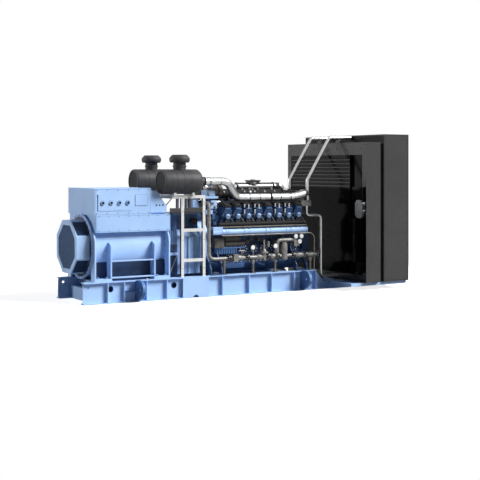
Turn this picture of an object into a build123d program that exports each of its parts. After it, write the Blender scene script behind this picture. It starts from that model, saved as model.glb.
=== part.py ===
"""Open gas generator set: skid, alternator, V engine, gas train, air filters and radiator.

Millimetres, +Z up, +X from the alternator to the radiator, +Y to the far side.
The set is drawn with X = 0 at the alternator end of the skid and moved at the end,
so that the origin is the middle of its foot print.
"""
from build123d import *
from math import cos, radians, sin, tan
import os

# Skid
skid_length = 5026
beam_height = 400
beam_half_span = 678
flange_width = 150
flange_thick = 22
web_thick = 14
rib_thick = 14
rib_inset = 4
rib_places = [462, 791, 1240, 1657, 2848, 3447, 3966, 4501]
flush_plate_from = 1986
flush_plate_to = 2541
flush_plate_thick = 12
notch_radius = 60
web_hole_radius = 58
web_hole_places = [537, 1829]
web_hole_height = 257
end_hole_radius = 23
end_hole_x = 100
end_hole_height = 304
cross_thick = 14
cross_flange = 90
cross_drop = 30
cross_end_places = [240, 450]
cross_end_low_top = 236
cross_middle_places = [1450, 2040]
cross_engine_x = 3200
cross_front_x = 4600

# Lifting lugs
lug_places = [1050, 4700]
lug_gusset_way = [-1, 1]
lug_thick = 55
lug_reach = 290
lug_top_reach = 130
lug_hole_radius = 30
lug_hole_out = 150
lug_hole_height = 250
lug_gusset_height = 200
lug_gusset_thick = 20
lug_gusset_length = 250
lug_gusset_reach = 180
lug_arc_radius = 638
lug_nose_back = 25
lug_nose_height = 320

# Radiator base
base_length = 1774
base_beam_y = 600
base_beam_height = 150
base_beam_flange = 90
base_plate_thick = 12
arm_places = [5440, 6000, 6750]
arm_width = 80
arm_inset = 70
arm_height = 155
arm_tip_height = 60
edge_width = 60
base_gusset_length = 240

# Alternator
shaft_z = 1010
barrel_radius = 540
barrel_from = 220
barrel_to = 1730
barrel_flange_radius = 600
barrel_flange_thick = 35
barrel_shoulder = 50
barrel_neck_radius = 500
barrel_neck_length = 60
drive_flange_radius = 545
frame_out_y = 650
frame_rib_places = [226, 536, 1413, 1715]
frame_rib_thick = 30
frame_base_z = 450
frame_ledge_z = 750
frame_rib_top = 1100
frame_shoulder_drop = 50
frame_end_shoulder_z = 1150
frame_panel_y = 575
frame_panel_thick = 12
frame_ledge_thick = 24
sole_inner_y = 480
frame_top_inset = 90
octagon_flat = 970
octagon_depth = 255
octagon_rim = 88
grille_thick = 24
grille_bars = 13
grille_rim = 50
grille_bar_height = 22

# Terminal box
box_half_width = 630
box_lower_from = 250
box_lower_to = 1740
box_lower_z = 1285
box_split_z = 1600
box_upper_from = 218
box_upper_to = 1340
box_top_z = 2084
hood_to = 1680
hood_ridge_x = 1463
hood_top_z = 2037
hood_eave_z = 1745
hood_base_z = 1627
hood_half_width = 600
hood_seat_inset = 40
panel_thick = 8
gland_panel = [273, 962, 1677, 1977]
gland_first_x = 371
gland_pitch = 166
gland_count = 4
gland_z = 1820
gland_radius = 33
gland_length = 22
meter_panel = [1022, 1256, 1764, 1957]

# Coupling and flywheel housing
bell_neck_to = 1960
bell_neck_radius = 430
shield_half_width = 500
shield_low_z = 805
shield_top_z = 1274
shield_rib_width = 22
shield_rib_proud = 14
shield_rib_count = 5
shield_mesh_top = 1012
bell_to = 2440
bell_half_width = 500
bell_foot_z = 450
bell_shoulder_z = 1150
bell_crown_z = 1450
bell_crown_half = 260
bell_rib_places = [2060, 2200, 2340]
bell_rib_width = 36
bell_rib_proud = 24
flywheel_to = 2620
flywheel_radius = 530
flywheel_foot_z = 560

# Engine
crank_z = 950
bank_tilt = 30
cylinder_count = 8
cylinder_first_x = 3009
cylinder_pitch = 236
block_to = 4850
case_half_width = 370
case_bottom_z = 640
case_shoulder_z = 1120
bank_root = 150
deck_height = 620
bank_half_width = 165
head_height = 200
head_half_width = 190
head_gap = 18
cover_height = 110
cover_half_width = 135
cover_gap = 46
cap_radius = 44
cap_length = 30
cap_reach = 120
valley_half_width = 110
valley_top_z = 1560
pan_half_width = 400
pan_bottom_z = 430
pan_foot_half_width = 300
pan_rim = 60
pan_end_gap = 40
front_case_length = 150
front_case_half_width = 430
front_case_top_z = 1480
front_case_shoulder_z = 1150
front_case_crown_half = 260
damper_radius = 230
damper_length = 70
door_radius = 85
door_thick = 18
door_z = 860

# Engine mounts
mount_places = [2740, 4700]
mount_length = 260
mount_plate = 18
mount_top_z = 900
mount_head_z = 820
mount_toe = 40
mount_toe_rise = 120
mount_heel_z = 520
mount_lift = 10

# Manifolds and coolant rails
runner_y = 590
runner_z = 1365
runner_radius = 40
runner_over = 90
branch_width = 70
branch_half = 30
branch_rise = 60
rail_y = 620
rail_z = 1220
rail_radius = 56
rail_from = 2640
rail_to = 4820
rail_leg = 50
rail_leg_pitch = 2

# Air filters and stand
filter_y = 600
filter_z = 2196
filter_radius = 234
filter_from = 1530
filter_to = 2450
filter_chamfer = 60
filter_cup_radius = 190
filter_cup_depth = 60
filter_lip = 20
cap_x = 1951
neck_radius = 120
rain_cap_radius = 194
rain_cap_z = 2585
rain_cap_top = 2704
rain_cap_brim = 60
rain_cap_lip = 30
rain_cap_crown_radius = 145
post_size = 57
post_y = 620
post_places = {"near": [1993, 2453], "far": [1790, 2120]}
saddle_places = {"near": [1800, 2190], "far": [1800, 2110]}
stand_beam_places = [1790, 1993, 2120]
stand_top_z = 1937
top_bar_from = 1760
rung_heights = [713, 1281]
tray_from = 1750
tray_low_z = 1610
tray_top_z = 1700
saddle_length = 50
saddle_half_width = 120
saddle_rise = 60

# Charge pipes, mixer, exhaust
charge_radius = 72
charge_z = 1877
charge_y = 450
charge_drop_from = 2980
charge_drop_to = 3284
charge_rise_x = 4600
charge_end_x = 4890
charge_end_z = 1910
charge_bend = 260
charge_end_bend = 120
charge_hose_radius = 88
charge_hose_length = 120
mixer_from = 4790
mixer_to = 4990
mixer_half_width = 300
mixer_step_half = 480
mixer_bottom_z = 1680
mixer_step_z = 1795
mixer_top_z = 1985
thermostat_reach = 110
mixer_foot_half = 180
exhaust_radius = 60
exhaust_z = 2090
exhaust_from = 3470
exhaust_to = 4640
exhaust_bend = 100
exhaust_flange_radius = 84
exhaust_flange_thick = 24
outlet_from = 3770
outlet_to = 4100
outlet_top_z = 2210
outlet_half_width = 90
outlet_flange = 20
outlet_flange_thick = 26
outlet_bore = 60
outlet_bore_depth = 60
exhaust_flange_inset = 140
log_y = 165
log_z = 1950
log_radius = 85
log_from = 2949
log_to = 4721
port_radius = 38
port_reach = 740
port_inset = 20
rear_house_from = 2600
rear_house_to = 2806
rear_house_y = 480
rear_house_inner_y = 250
rear_house_tiers = [1665, 1848, 1915, 2031]
rear_house_step = 20
rear_house_brim = 40
rear_duct_low_z = 1545
rear_neck_from = 2560
rear_neck_to = 2740
rear_neck_half = 200
rear_neck_low_z = 1410

# Gas train
train_y = 620
train_z = 710
train_radius = 38
train_to = 5083
train_flange_radius = 82
train_flange_thick = 26
train_flange_places = [3014, 3421, 3907, 4118, 4496, 4788]
train_stand_places = [2907, 3558, 4068, 4907]
train_stand_half = 20
train_stand_foot = 90
train_foot_thick = 12
train_inlet_bore = 27
train_inlet_depth = 60
train_stand_bite = 19
feed_run = 420
feed_join_z = 1780
feed_join_bend = 70
feed_x = 2573
feed_radius = 35
feed_bend = 110

# Coolant pipes
coolant_y = 330
coolant_radius = 38
coolant_x = 5046
coolant_knee_z = 2208
coolant_top_x = 5597
coolant_top_rise = 76
coolant_bend = 90
return_y = 440
return_radius = 30
return_from_x = 4950
return_x = 5304
return_top_z = 1490
return_low_z = 235
return_bend = 80

# Radiator
front_from = 5720
front_to = 6080
front_half_width = 1420
front_top_z = 2973
front_side_wall = 130
front_top_band = 253
front_bottom_band = 145
front_core_depth = 230
front_open_depth = 120
slot_width = 100
slot_inset = 80
slot_lift = 60
rear_to = 6820
rear_half_width = 1400
rear_top_z = 3137
rear_frame_proud = 30
rear_frame_low = 355
rear_frame_top = 2990
rear_frame_rim = 90
guard_inset = 40
guard_post_places = [-430, 430]
screen_thick = 40
screen_near_y = -880
slat_low_z = 2050
slat_top_band = 24
slat_side_band = 16
slat_pitch = 77
slat_depth = 24
slat_gap = 40
bay_wall = 12
bay_low_z = 352
bay_step_z = 2070
header_inset = 60
header_step = 30
header_depth = 60
header_upper_z = 1807
header_low_z = 554
header_lower_top_z = 1444
header_gap = 5
header_box_width = 239
header_box_corner = 60
core_depth = 120
guard_bars = 12
guard_bar = 16

rear_from = front_to + slot_width
front_open_half = front_half_width - front_side_wall
front_open_top = front_top_z - front_top_band
front_open_low = arm_height + front_bottom_band
arm_reach = front_half_width - arm_inset
coolant_top_z = front_top_z + coolant_top_rise + coolant_radius

near = -1
far = 1
sides = {"near": near, "far": far}
nodes = {}


def block(x0, x1, y0, y1, z0, z1):
    """A box between two corners, in any order of the Y values."""
    centre = Pos((x0 + x1) / 2, (y0 + y1) / 2, (z0 + z1) / 2)
    return centre * Box(x1 - x0, abs(y1 - y0), z1 - z0)


def rod_x(radius, x0, x1, y, z):
    """A round bar along X."""
    return Pos((x0 + x1) / 2, y, z) * Rot(0, 90, 0) * Cylinder(radius, x1 - x0)


def rod_y(radius, x, y0, y1, z):
    """A round bar along Y."""
    return Pos(x, (y0 + y1) / 2, z) * Rot(90, 0, 0) * Cylinder(radius, abs(y1 - y0))


def rod_z(radius, x, y, z0, z1):
    """A round bar along Z."""
    return Pos(x, y, (z0 + z1) / 2) * Cylinder(radius, z1 - z0)


def bar_between(radius, start, end):
    """A round bar between two points."""
    line = Line(start, end)
    return extrude(Plane(origin=line @ 0, z_dir=line % 0) * Circle(radius), amount=line.length)


def elbow_reach(way_in, way_out, bend):
    """How far before and after its corner an elbow begins and ends."""
    return bend * tan(radians(way_in.get_angle(way_out)) / 2)


def elbow(radius, corner, way_in, way_out, bend):
    """Part of a ring that turns a pipe from one direction to the next."""
    angle = way_in.get_angle(way_out)
    begin = corner - way_in * elbow_reach(way_in, way_out, bend)
    turn = way_in.cross(way_out).normalized()
    centre = begin + turn.cross(way_in) * bend
    face = Plane(origin=begin, z_dir=way_in) * Circle(radius)
    return revolve(face, axis=Axis(centre, turn), revolution_arc=angle)


def bent_pipe(radius, points, bends):
    """A round pipe of straight runs and an elbow at each corner."""
    corners = [Vector(*point) for point in points]
    ways = [(after - before).normalized() for before, after in zip(corners, corners[1:])]
    start = corners[0]
    pipe = []
    for corner, way_in, way_out, bend in zip(corners[1:], ways, ways[1:], bends):
        reach = elbow_reach(way_in, way_out, bend)
        pipe.append(bar_between(radius, start, corner - way_in * reach))
        pipe.append(elbow(radius, corner, way_in, way_out, bend))
        start = corner + way_out * reach
    pipe.append(bar_between(radius, start, corners[-1]))
    return pipe[0].fuse(*pipe[1:])


def plate_yz(points, x0, x1):
    """A flat outline in Y and Z, given a thickness along X."""
    face = make_face(Polyline(*points, close=True))
    plane = Plane(origin=(x0, 0, 0), x_dir=(0, 1, 0), z_dir=(1, 0, 0))
    return extrude(plane * face, amount=x1 - x0)


def plate_xz(points, y0, y1):
    """A flat outline in X and Z, given a thickness along Y."""
    face = make_face(Polyline(*points, close=True))
    plane = Plane(origin=(0, y1, 0), x_dir=(1, 0, 0), z_dir=(0, -1, 0))
    return extrude(plane * face, amount=abs(y1 - y0))


def turned_x(profile, y, z):
    """A solid of revolution about a line along X, from pairs of X and radius."""
    face = Plane.XY * make_face(Polyline(*profile, close=True))
    return Pos(0, y, z) * revolve(face, axis=Axis.X)


def bank_point(side, reach, lateral):
    """Y and Z of a point of one cylinder bank, from the crank out and across."""
    tilt = radians(bank_tilt)
    y = reach * sin(tilt) + lateral * cos(tilt)
    z = crank_z + reach * cos(tilt) - lateral * sin(tilt)
    return (side * y, z)


def bank_block(side, x0, x1, r0, r1, half0, half1):
    """A block of one bank that tapers from half0 at reach r0 to half1 at r1."""
    outline = [
        bank_point(side, r0, -half0),
        bank_point(side, r0, half0),
        bank_point(side, r1, half1),
        bank_point(side, r1, -half1),
    ]
    return plate_yz(outline, x0, x1)


def keep(name, shape):
    """Puts a finished piece on the list of nodes."""
    nodes[name] = shape
    return shape


# Skid beams: rolled sections with stiffening ribs, a flush plate and web holes
web_y = beam_half_span - flange_width / 2
web_in = web_y - web_thick / 2
web_out = web_y + web_thick / 2
flange_in = beam_half_span - flange_width
rib_top = beam_height - flange_thick


def skid_beam(side):
    """One deep beam of the skid."""
    beam = block(0, skid_length, side * flange_in, side * beam_half_span, 0, flange_thick)
    beam += block(0, skid_length, side * flange_in, side * beam_half_span, rib_top, beam_height)
    beam += block(0, skid_length, side * web_in, side * web_out, flange_thick, rib_top)
    rib_edge = side * (beam_half_span - rib_inset)
    for x in rib_places + [skid_length - rib_thick / 2]:
        beam += block(x - rib_thick / 2, x + rib_thick / 2, side * web_out, rib_edge, flange_thick, rib_top)
    plate_y = side * (beam_half_span - flush_plate_thick)
    beam += block(
        flush_plate_from, flush_plate_to, plate_y, side * beam_half_span, flange_thick, rib_top
    )
    notch_x = (flush_plate_from + flush_plate_to) / 2
    beam -= rod_y(notch_radius, notch_x, side * (web_out + 1), side * (beam_half_span + 1), 0)
    for x in web_hole_places:
        beam -= rod_y(web_hole_radius, x, side * flange_in, side * beam_half_span, web_hole_height)
    beam -= rod_y(end_hole_radius, end_hole_x, side * flange_in, side * beam_half_span, end_hole_height)
    return beam


beams = {name: keep("skid_beam_" + name, skid_beam(side)) for name, side in sides.items()}


def cross_member(x, z0, z1):
    """A channel between the webs of the two beams, open towards +X."""
    channel = block(x, x + cross_thick, -web_in, web_in, z0, z1)
    channel += block(x, x + cross_flange, -web_in, web_in, z0, z0 + cross_thick)
    channel += block(x, x + cross_flange, -web_in, web_in, z1 - cross_thick, z1)
    return channel - beams["near"] - beams["far"]


cross_top = rib_top - cross_drop
low_member = cross_member(cross_end_places[0], 0, cross_end_low_top)
keep("skid_cross_end", low_member + cross_member(cross_end_places[1], flange_thick, cross_top))
middle_members = [cross_member(x, flange_thick, cross_top) for x in cross_middle_places]
keep("skid_cross_middle", middle_members[0] + middle_members[1])
keep("skid_cross_engine", cross_member(cross_engine_x, flange_thick, cross_top))
keep("skid_cross_front", cross_member(cross_front_x, flange_thick, cross_top))


def lifting_lug(side, x, way):
    """A thick plate standing out of the beam, with a hole and a flat gusset."""
    root = web_out
    outer = beam_half_span + lug_reach
    top = beam_half_span + lug_top_reach
    nose = (outer - lug_nose_back, lug_nose_height)
    edge = RadiusArc((beam_half_span, 0), (outer, lug_gusset_height), -lug_arc_radius)
    edge += ThreePointArc((outer, lug_gusset_height), nose, (top, beam_height))
    outline = edge + Polyline((top, beam_height), (root, beam_height), (root, 0), (beam_half_span, 0))
    face = Plane(origin=(x - lug_thick / 2, 0, 0), x_dir=(0, 1, 0), z_dir=(1, 0, 0)) * make_face(outline)
    lug = extrude(face, amount=lug_thick)
    hole_y = beam_half_span + lug_hole_out
    lug -= rod_x(lug_hole_radius, x - lug_thick, x + lug_thick, hole_y, lug_hole_height)
    x_end = x + way * lug_gusset_length
    gusset = make_face(
        Polyline((x, root), (x, beam_half_span + lug_gusset_reach), (x_end, root), close=True)
    )
    low = lug_gusset_height - lug_gusset_thick / 2
    lug += extrude(Pos(0, 0, low) * gusset, amount=lug_gusset_thick)
    if side == near:
        lug = mirror(lug, about=Plane.XZ)
    return lug


for name, side in sides.items():
    for number, (x, way) in enumerate(zip(lug_places, lug_gusset_way)):
        keep(f"lifting_lug_{name}_{number + 1}", lifting_lug(side, x, way) - beams[name])

# Radiator base: two low beams, three tapered arms and two edge members
base_to = skid_length + base_length
base_in = base_beam_y - base_beam_flange / 2
base_out = base_beam_y + base_beam_flange / 2


def base_beam(side):
    """A low beam that carries on from the end of one deep beam, with its gusset."""
    beam = block(skid_length, base_to, side * base_in, side * base_out, 0, base_plate_thick)
    top = base_beam_height - base_plate_thick
    beam += block(skid_length, base_to, side * base_in, side * base_out, top, base_beam_height)
    y0 = side * (base_beam_y - base_plate_thick / 2)
    y1 = side * (base_beam_y + base_plate_thick / 2)
    beam += block(skid_length, base_to, y0, y1, base_plate_thick, top)
    corner = [
        (skid_length, base_beam_height),
        (skid_length + base_gusset_length, base_beam_height),
        (skid_length, beam_height),
    ]
    return beam + plate_xz(corner, min(y0, y1), max(y0, y1))


base_beams = {name: keep("radiator_base_beam_" + name, base_beam(side)) for name, side in sides.items()}
arm_outline = [
    (-arm_reach, arm_height),
    (-arm_reach, arm_height - arm_tip_height),
    (-beam_half_span, 0),
    (beam_half_span, 0),
    (arm_reach, arm_height - arm_tip_height),
    (arm_reach, arm_height),
]
arms = []
for number, x in enumerate(arm_places):
    arm = plate_yz(arm_outline, x - arm_width / 2, x + arm_width / 2)
    arm = arm - base_beams["near"] - base_beams["far"]
    arms.append(keep(f"radiator_base_arm_{number + 1}", arm))
for name, side in sides.items():
    edge_low = arm_height - arm_tip_height
    y0 = side * (arm_reach - edge_width)
    edge = block(arm_places[0], arm_places[-1], y0, side * arm_reach, edge_low, arm_height)
    for arm in arms:
        edge = edge - arm
    keep("radiator_base_edge_" + name, edge)

# Alternator: a turned barrel in a welded frame with feet, and an octagonal air inlet
neck_from = barrel_to - barrel_flange_thick - barrel_neck_length
barrel = turned_x(
    [
        (barrel_from - barrel_flange_thick, 0),
        (barrel_from - barrel_flange_thick, barrel_flange_radius),
        (barrel_from, barrel_flange_radius),
        (barrel_from, barrel_radius),
        (neck_from - barrel_shoulder, barrel_radius),
        (neck_from, barrel_neck_radius),
        (barrel_to - barrel_flange_thick, barrel_neck_radius),
        (barrel_to - barrel_flange_thick, drive_flange_radius),
        (barrel_to, drive_flange_radius),
        (barrel_to, 0),
    ],
    0,
    shaft_z,
)


def frame_rib(side, x, top, shoulder):
    """One upright plate of the frame, cut to a shoulder at its outer top corner."""
    outline = [
        (side * sole_inner_y, frame_base_z),
        (side * frame_out_y, frame_base_z),
        (side * frame_out_y, shoulder),
        (side * (frame_out_y - frame_top_inset), top),
        (side * (sole_inner_y - frame_top_inset), top),
        (side * (sole_inner_y - frame_top_inset), frame_ledge_z),
        (side * sole_inner_y, frame_ledge_z),
    ]
    return plate_yz(outline, x - frame_rib_thick / 2, x + frame_rib_thick / 2)


def alternator_frame(side):
    """The welded foot frame of one side: upright plates, soles, a panel and its two ledges."""
    first, second, third, last = frame_rib_places
    frame = block(
        second,
        third,
        side * (frame_panel_y - frame_panel_thick),
        side * frame_panel_y,
        frame_base_z,
        frame_ledge_z,
    )
    frame += block(
        second,
        third,
        side * sole_inner_y / 2,
        side * frame_out_y,
        frame_ledge_z,
        frame_ledge_z + frame_ledge_thick,
    )
    frame += block(
        second,
        third,
        side * frame_panel_y,
        side * frame_out_y,
        frame_base_z,
        frame_base_z + frame_ledge_thick,
    )
    for x in (first, last):
        frame += frame_rib(side, x, box_lower_z, frame_end_shoulder_z)
    for x in (second, third):
        frame += frame_rib(side, x, frame_rib_top, frame_rib_top - frame_shoulder_drop)
    half = frame_rib_thick / 2
    for x0, x1 in ((first, second), (third, last)):
        frame += block(
            x0 - half, x1 + half, side * sole_inner_y, side * frame_out_y, beam_height, frame_base_z
        )
    return frame - barrel


keep("alternator_body", barrel)
for name, side in sides.items():
    keep("alternator_frame_" + name, alternator_frame(side))

octagon_to = barrel_from - barrel_flange_thick
octagon_from = octagon_to - octagon_depth


def octagon(flat, x0, x1):
    """An upright eight-sided prism along X."""
    face = RegularPolygon(flat / 2, 8, major_radius=False, rotation=22.5)
    place = Plane(origin=(x0, 0, shaft_z), x_dir=(0, 1, 0), z_dir=(1, 0, 0))
    return extrude(place * face, amount=x1 - x0)


cover = octagon(octagon_flat, octagon_from, octagon_to)
grille_flat = octagon_flat - 2 * octagon_rim
cover -= octagon(grille_flat, octagon_from - 1, octagon_from + grille_thick)
keep("alternator_end_cover", cover)
grille = octagon(grille_flat, octagon_from, octagon_from + grille_thick)
grille_step = grille_flat / (grille_bars + 1)
for row in range(grille_bars):
    z = shaft_z - grille_flat / 2 + (row + 0.5) * grille_step + grille_bar_height / 2
    corner_room = grille_flat / 2 / cos(radians(45)) - abs(z + grille_bar_height / 2 - shaft_z)
    half = min(grille_flat / 2, corner_room) - grille_rim
    grille -= block(octagon_from - 1, octagon_from + grille_thick / 2, -half, half, z, z + grille_bar_height)
keep("alternator_inlet_grille", grille)

# Bell housing and flywheel housing
bell = plate_yz(
    [
        (-bell_half_width, bell_foot_z),
        (bell_half_width, bell_foot_z),
        (bell_half_width, bell_shoulder_z),
        (bell_crown_half, bell_crown_z),
        (-bell_crown_half, bell_crown_z),
        (-bell_half_width, bell_shoulder_z),
    ],
    bell_neck_to,
    bell_to,
)
bell += rod_x(bell_neck_radius, barrel_to, bell_neck_to, 0, shaft_z)
bell += block(barrel_to, bell_neck_to, -shield_half_width, shield_half_width, shield_low_z, shield_top_z)
shield_side = shield_half_width + shield_rib_proud
shield_pitch = (bell_neck_to - barrel_to) / shield_rib_count
for count in range(shield_rib_count):
    x = barrel_to + (count + 0.5) * shield_pitch
    x0 = x - shield_rib_width / 2
    bell += block(x0, x0 + shield_rib_width, -shield_side, shield_side, shield_mesh_top, shield_top_z)
bell_side = bell_half_width + bell_rib_proud
for x in bell_rib_places:
    bell += block(
        x - bell_rib_width / 2, x + bell_rib_width / 2, -bell_side, bell_side, bell_foot_z, bell_shoulder_z
    )
keep("bell_housing", bell)
flywheel = rod_x(flywheel_radius, bell_to, flywheel_to, 0, shaft_z)
flywheel -= block(bell_to, flywheel_to, -flywheel_radius, flywheel_radius, 0, flywheel_foot_z)
keep("flywheel_housing", flywheel)

# Terminal box: two stepped cabinets on the barrel and a sloped hood
terminal = block(box_lower_from, box_lower_to, -box_half_width, box_half_width, box_lower_z, box_split_z)
terminal += block(box_upper_from, box_upper_to, -box_half_width, box_half_width, box_split_z, box_top_z)
hood_outline = [
    (box_upper_to, hood_base_z),
    (hood_to, hood_base_z),
    (hood_to, hood_eave_z),
    (hood_ridge_x, hood_top_z),
    (box_upper_to, hood_top_z),
]
hood = plate_xz(hood_outline, -hood_half_width, hood_half_width)
seat_half = hood_half_width - hood_seat_inset
hood += block(box_upper_to, hood_to - hood_seat_inset, -seat_half, seat_half, box_split_z, hood_base_z)
keep("terminal_box", terminal + hood - barrel - bell)
panel_y = -box_half_width - panel_thick
panels = block(gland_panel[0], gland_panel[1], panel_y, -box_half_width, gland_panel[2], gland_panel[3])
panels += block(meter_panel[0], meter_panel[1], panel_y, -box_half_width, meter_panel[2], meter_panel[3])
for count in range(gland_count):
    x = gland_first_x + count * gland_pitch
    panels += rod_y(gland_radius, x, panel_y - gland_length, panel_y, gland_z)
keep("terminal_panels", panels)

# Engine block: crankcase with two tilted banks and a valley cover
case_outline = [
    (-case_half_width, case_bottom_z),
    (case_half_width, case_bottom_z),
    (case_half_width, case_shoulder_z),
    (-case_half_width, case_shoulder_z),
]
engine = plate_yz(case_outline, flywheel_to, block_to)
bank_from = cylinder_first_x - cylinder_pitch / 2
bank_to = cylinder_first_x + (cylinder_count - 0.5) * cylinder_pitch
for side in sides.values():
    engine += bank_block(side, bank_from, bank_to, bank_root, deck_height, bank_half_width, bank_half_width)
    for count in range(cylinder_count):
        x = cylinder_first_x + count * cylinder_pitch
        y0 = side * case_half_width
        engine += rod_y(door_radius, x, y0, y0 + side * door_thick, door_z)
engine += block(bank_from, bank_to, -valley_half_width, valley_half_width, case_shoulder_z, valley_top_z)
keep("engine_block", engine)

pan = plate_yz(
    [
        (-pan_half_width, case_bottom_z),
        (-pan_half_width, case_bottom_z - pan_rim),
        (-pan_foot_half_width, pan_bottom_z),
        (pan_foot_half_width, pan_bottom_z),
        (pan_half_width, case_bottom_z - pan_rim),
        (pan_half_width, case_bottom_z),
    ],
    flywheel_to + pan_end_gap,
    block_to - pan_end_gap,
)
keep("oil_pan", pan)

# Cylinder heads with covers and round caps, one set per cylinder
cover_base = deck_height + head_height


def cylinder_head(side, x):
    """One head, its cover that narrows upward, and the round cap on its outer side."""
    half = (cylinder_pitch - head_gap) / 2
    head = bank_block(side, x - half, x + half, deck_height, cover_base, head_half_width, head_half_width)
    half = (cylinder_pitch - cover_gap) / 2
    top = cover_base + cover_height
    head += bank_block(side, x - half, x + half, cover_base, top, head_half_width, cover_half_width)
    cap_from = bank_point(side, deck_height + cap_reach, head_half_width - 2)
    cap_to = bank_point(side, deck_height + cap_reach, head_half_width + cap_length)
    return head + bar_between(cap_radius, (x, *cap_from), (x, *cap_to))


heads = {}
for name, side in sides.items():
    row = [
        cylinder_head(side, cylinder_first_x + count * cylinder_pitch) for count in range(cylinder_count)
    ]
    heads[name] = keep("cylinder_heads_" + name, Compound(children=row))

# Manifolds under the heads, with a branch to each, and the coolant rails below them
branch_reach = deck_height + branch_rise
for name, side in sides.items():
    runner = rod_x(runner_radius, bank_from - runner_over, bank_to, side * runner_y, runner_z)
    rail = rod_x(rail_radius, rail_from, rail_to, side * rail_y, rail_z)
    for count in range(cylinder_count):
        x = cylinder_first_x + count * cylinder_pitch
        y, z = bank_point(side, branch_reach, head_half_width - branch_half)
        outline = [
            (side * (runner_y - branch_half), runner_z),
            (side * (runner_y + branch_half), runner_z),
            (y + side * branch_half, z),
            (y - side * branch_half, z),
        ]
        runner += plate_yz(outline, x - branch_width / 2, x + branch_width / 2)
        if count % rail_leg_pitch == 0:
            rail += block(
                x - rail_leg / 2,
                x + rail_leg / 2,
                side * (case_half_width - rail_leg),
                side * rail_y,
                rail_z - rail_leg / 2,
                rail_z + rail_leg / 2,
            )
    keep("charge_manifold_" + name, runner - heads[name] - engine)
    keep("coolant_rail_" + name, rail - engine)

# Front gear case with the damper
front_case_outline = [
    (-front_case_half_width, case_bottom_z),
    (front_case_half_width, case_bottom_z),
    (front_case_half_width, front_case_shoulder_z),
    (front_case_crown_half, front_case_top_z),
    (-front_case_crown_half, front_case_top_z),
    (-front_case_half_width, front_case_shoulder_z),
]
front_case = plate_yz(front_case_outline, block_to, block_to + front_case_length)
front_case_to = block_to + front_case_length
front_case += rod_x(damper_radius, front_case_to, front_case_to + damper_length, 0, crank_z)
keep("front_gear_case", front_case)

# Engine mounts: a bracket from the skid to the crankcase at four corners
for name, side in sides.items():
    for number, x in enumerate(mount_places):
        x0 = x - mount_length / 2
        x1 = x + mount_length / 2
        y_out = side * beam_half_span
        y_case = side * case_half_width
        bracket_outline = [
            (side * flange_in, beam_height),
            (side * (beam_half_span - mount_toe), beam_height),
            (side * (beam_half_span - mount_toe), beam_height + mount_toe_rise),
            (y_case, mount_top_z),
            (y_case, case_bottom_z + mount_lift),
            (side * pan_half_width, case_bottom_z + mount_lift),
            (side * flange_in, mount_heel_z),
        ]
        bracket = block(x0, x1, side * flange_in, y_out, beam_height, beam_height + mount_plate)
        for rib_x in (x0, x1 - mount_plate):
            bracket += plate_yz(bracket_outline, rib_x, rib_x + mount_plate)
        bracket += block(
            x0, x1, y_case, side * (case_half_width + mount_plate), case_bottom_z + mount_lift, mount_head_z
        )
        keep(f"engine_mount_{name}_{number + 1}", bracket - engine - flywheel)

# Air filters with rain caps
for name, side in sides.items():
    y = side * filter_y
    body = turned_x(
        [
            (filter_from, 0),
            (filter_from, filter_radius - filter_lip),
            (filter_from + filter_lip, filter_radius),
            (filter_to - filter_chamfer, filter_radius),
            (filter_to, filter_radius - filter_chamfer),
            (filter_to, 0),
        ],
        y,
        filter_z,
    )
    body -= rod_x(filter_cup_radius, filter_from - 1, filter_from + filter_cup_depth, y, filter_z)
    body += rod_z(neck_radius, cap_x, y, filter_z, rain_cap_z)
    brim = rain_cap_z + rain_cap_brim
    profile = [
        (0, rain_cap_z - rain_cap_lip),
        (rain_cap_radius - rain_cap_lip, rain_cap_z - rain_cap_lip),
        (rain_cap_radius, rain_cap_z),
        (rain_cap_radius, brim),
        (rain_cap_crown_radius, rain_cap_top),
        (0, rain_cap_top),
    ]
    face = Plane.XZ * make_face(Polyline(*profile, close=True))
    body += Pos(cap_x, y, 0) * revolve(face, axis=Axis.Z)
    keep("air_filter_" + name, body)

# Filter stand: a ladder frame on each side, a tray bar on the near one and three beams across
half_post = post_size / 2
for name, side in sides.items():
    y0 = side * (post_y - half_post)
    y1 = side * (post_y + half_post)
    first, last = post_places[name]
    stand = block(top_bar_from, last + half_post, y0, y1, stand_top_z - post_size, stand_top_z)
    for x in (first, last):
        stand += block(x - half_post, x + half_post, y0, y1, beam_height, stand_top_z)
    for z in rung_heights:
        stand += block(first, last, y0, y1, z - half_post, z + half_post)
    if side == near:
        stand += block(tray_from, last, y0, y1, tray_low_z, tray_top_z)
    for x in saddle_places[name]:
        stand += block(
            x - saddle_length / 2,
            x + saddle_length / 2,
            side * (filter_y - saddle_half_width),
            side * (filter_y + saddle_half_width),
            stand_top_z,
            stand_top_z + saddle_rise,
        )
    keep("filter_stand_" + name, stand - nodes["air_filter_" + name])
beam_y = post_y - half_post
beams_across = []
for x in stand_beam_places:
    beam_low_z = stand_top_z - post_size
    beams_across.append(block(x - half_post, x + half_post, -beam_y, beam_y, beam_low_z, stand_top_z))
keep("filter_stand_across", Compound(children=beams_across))

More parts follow.
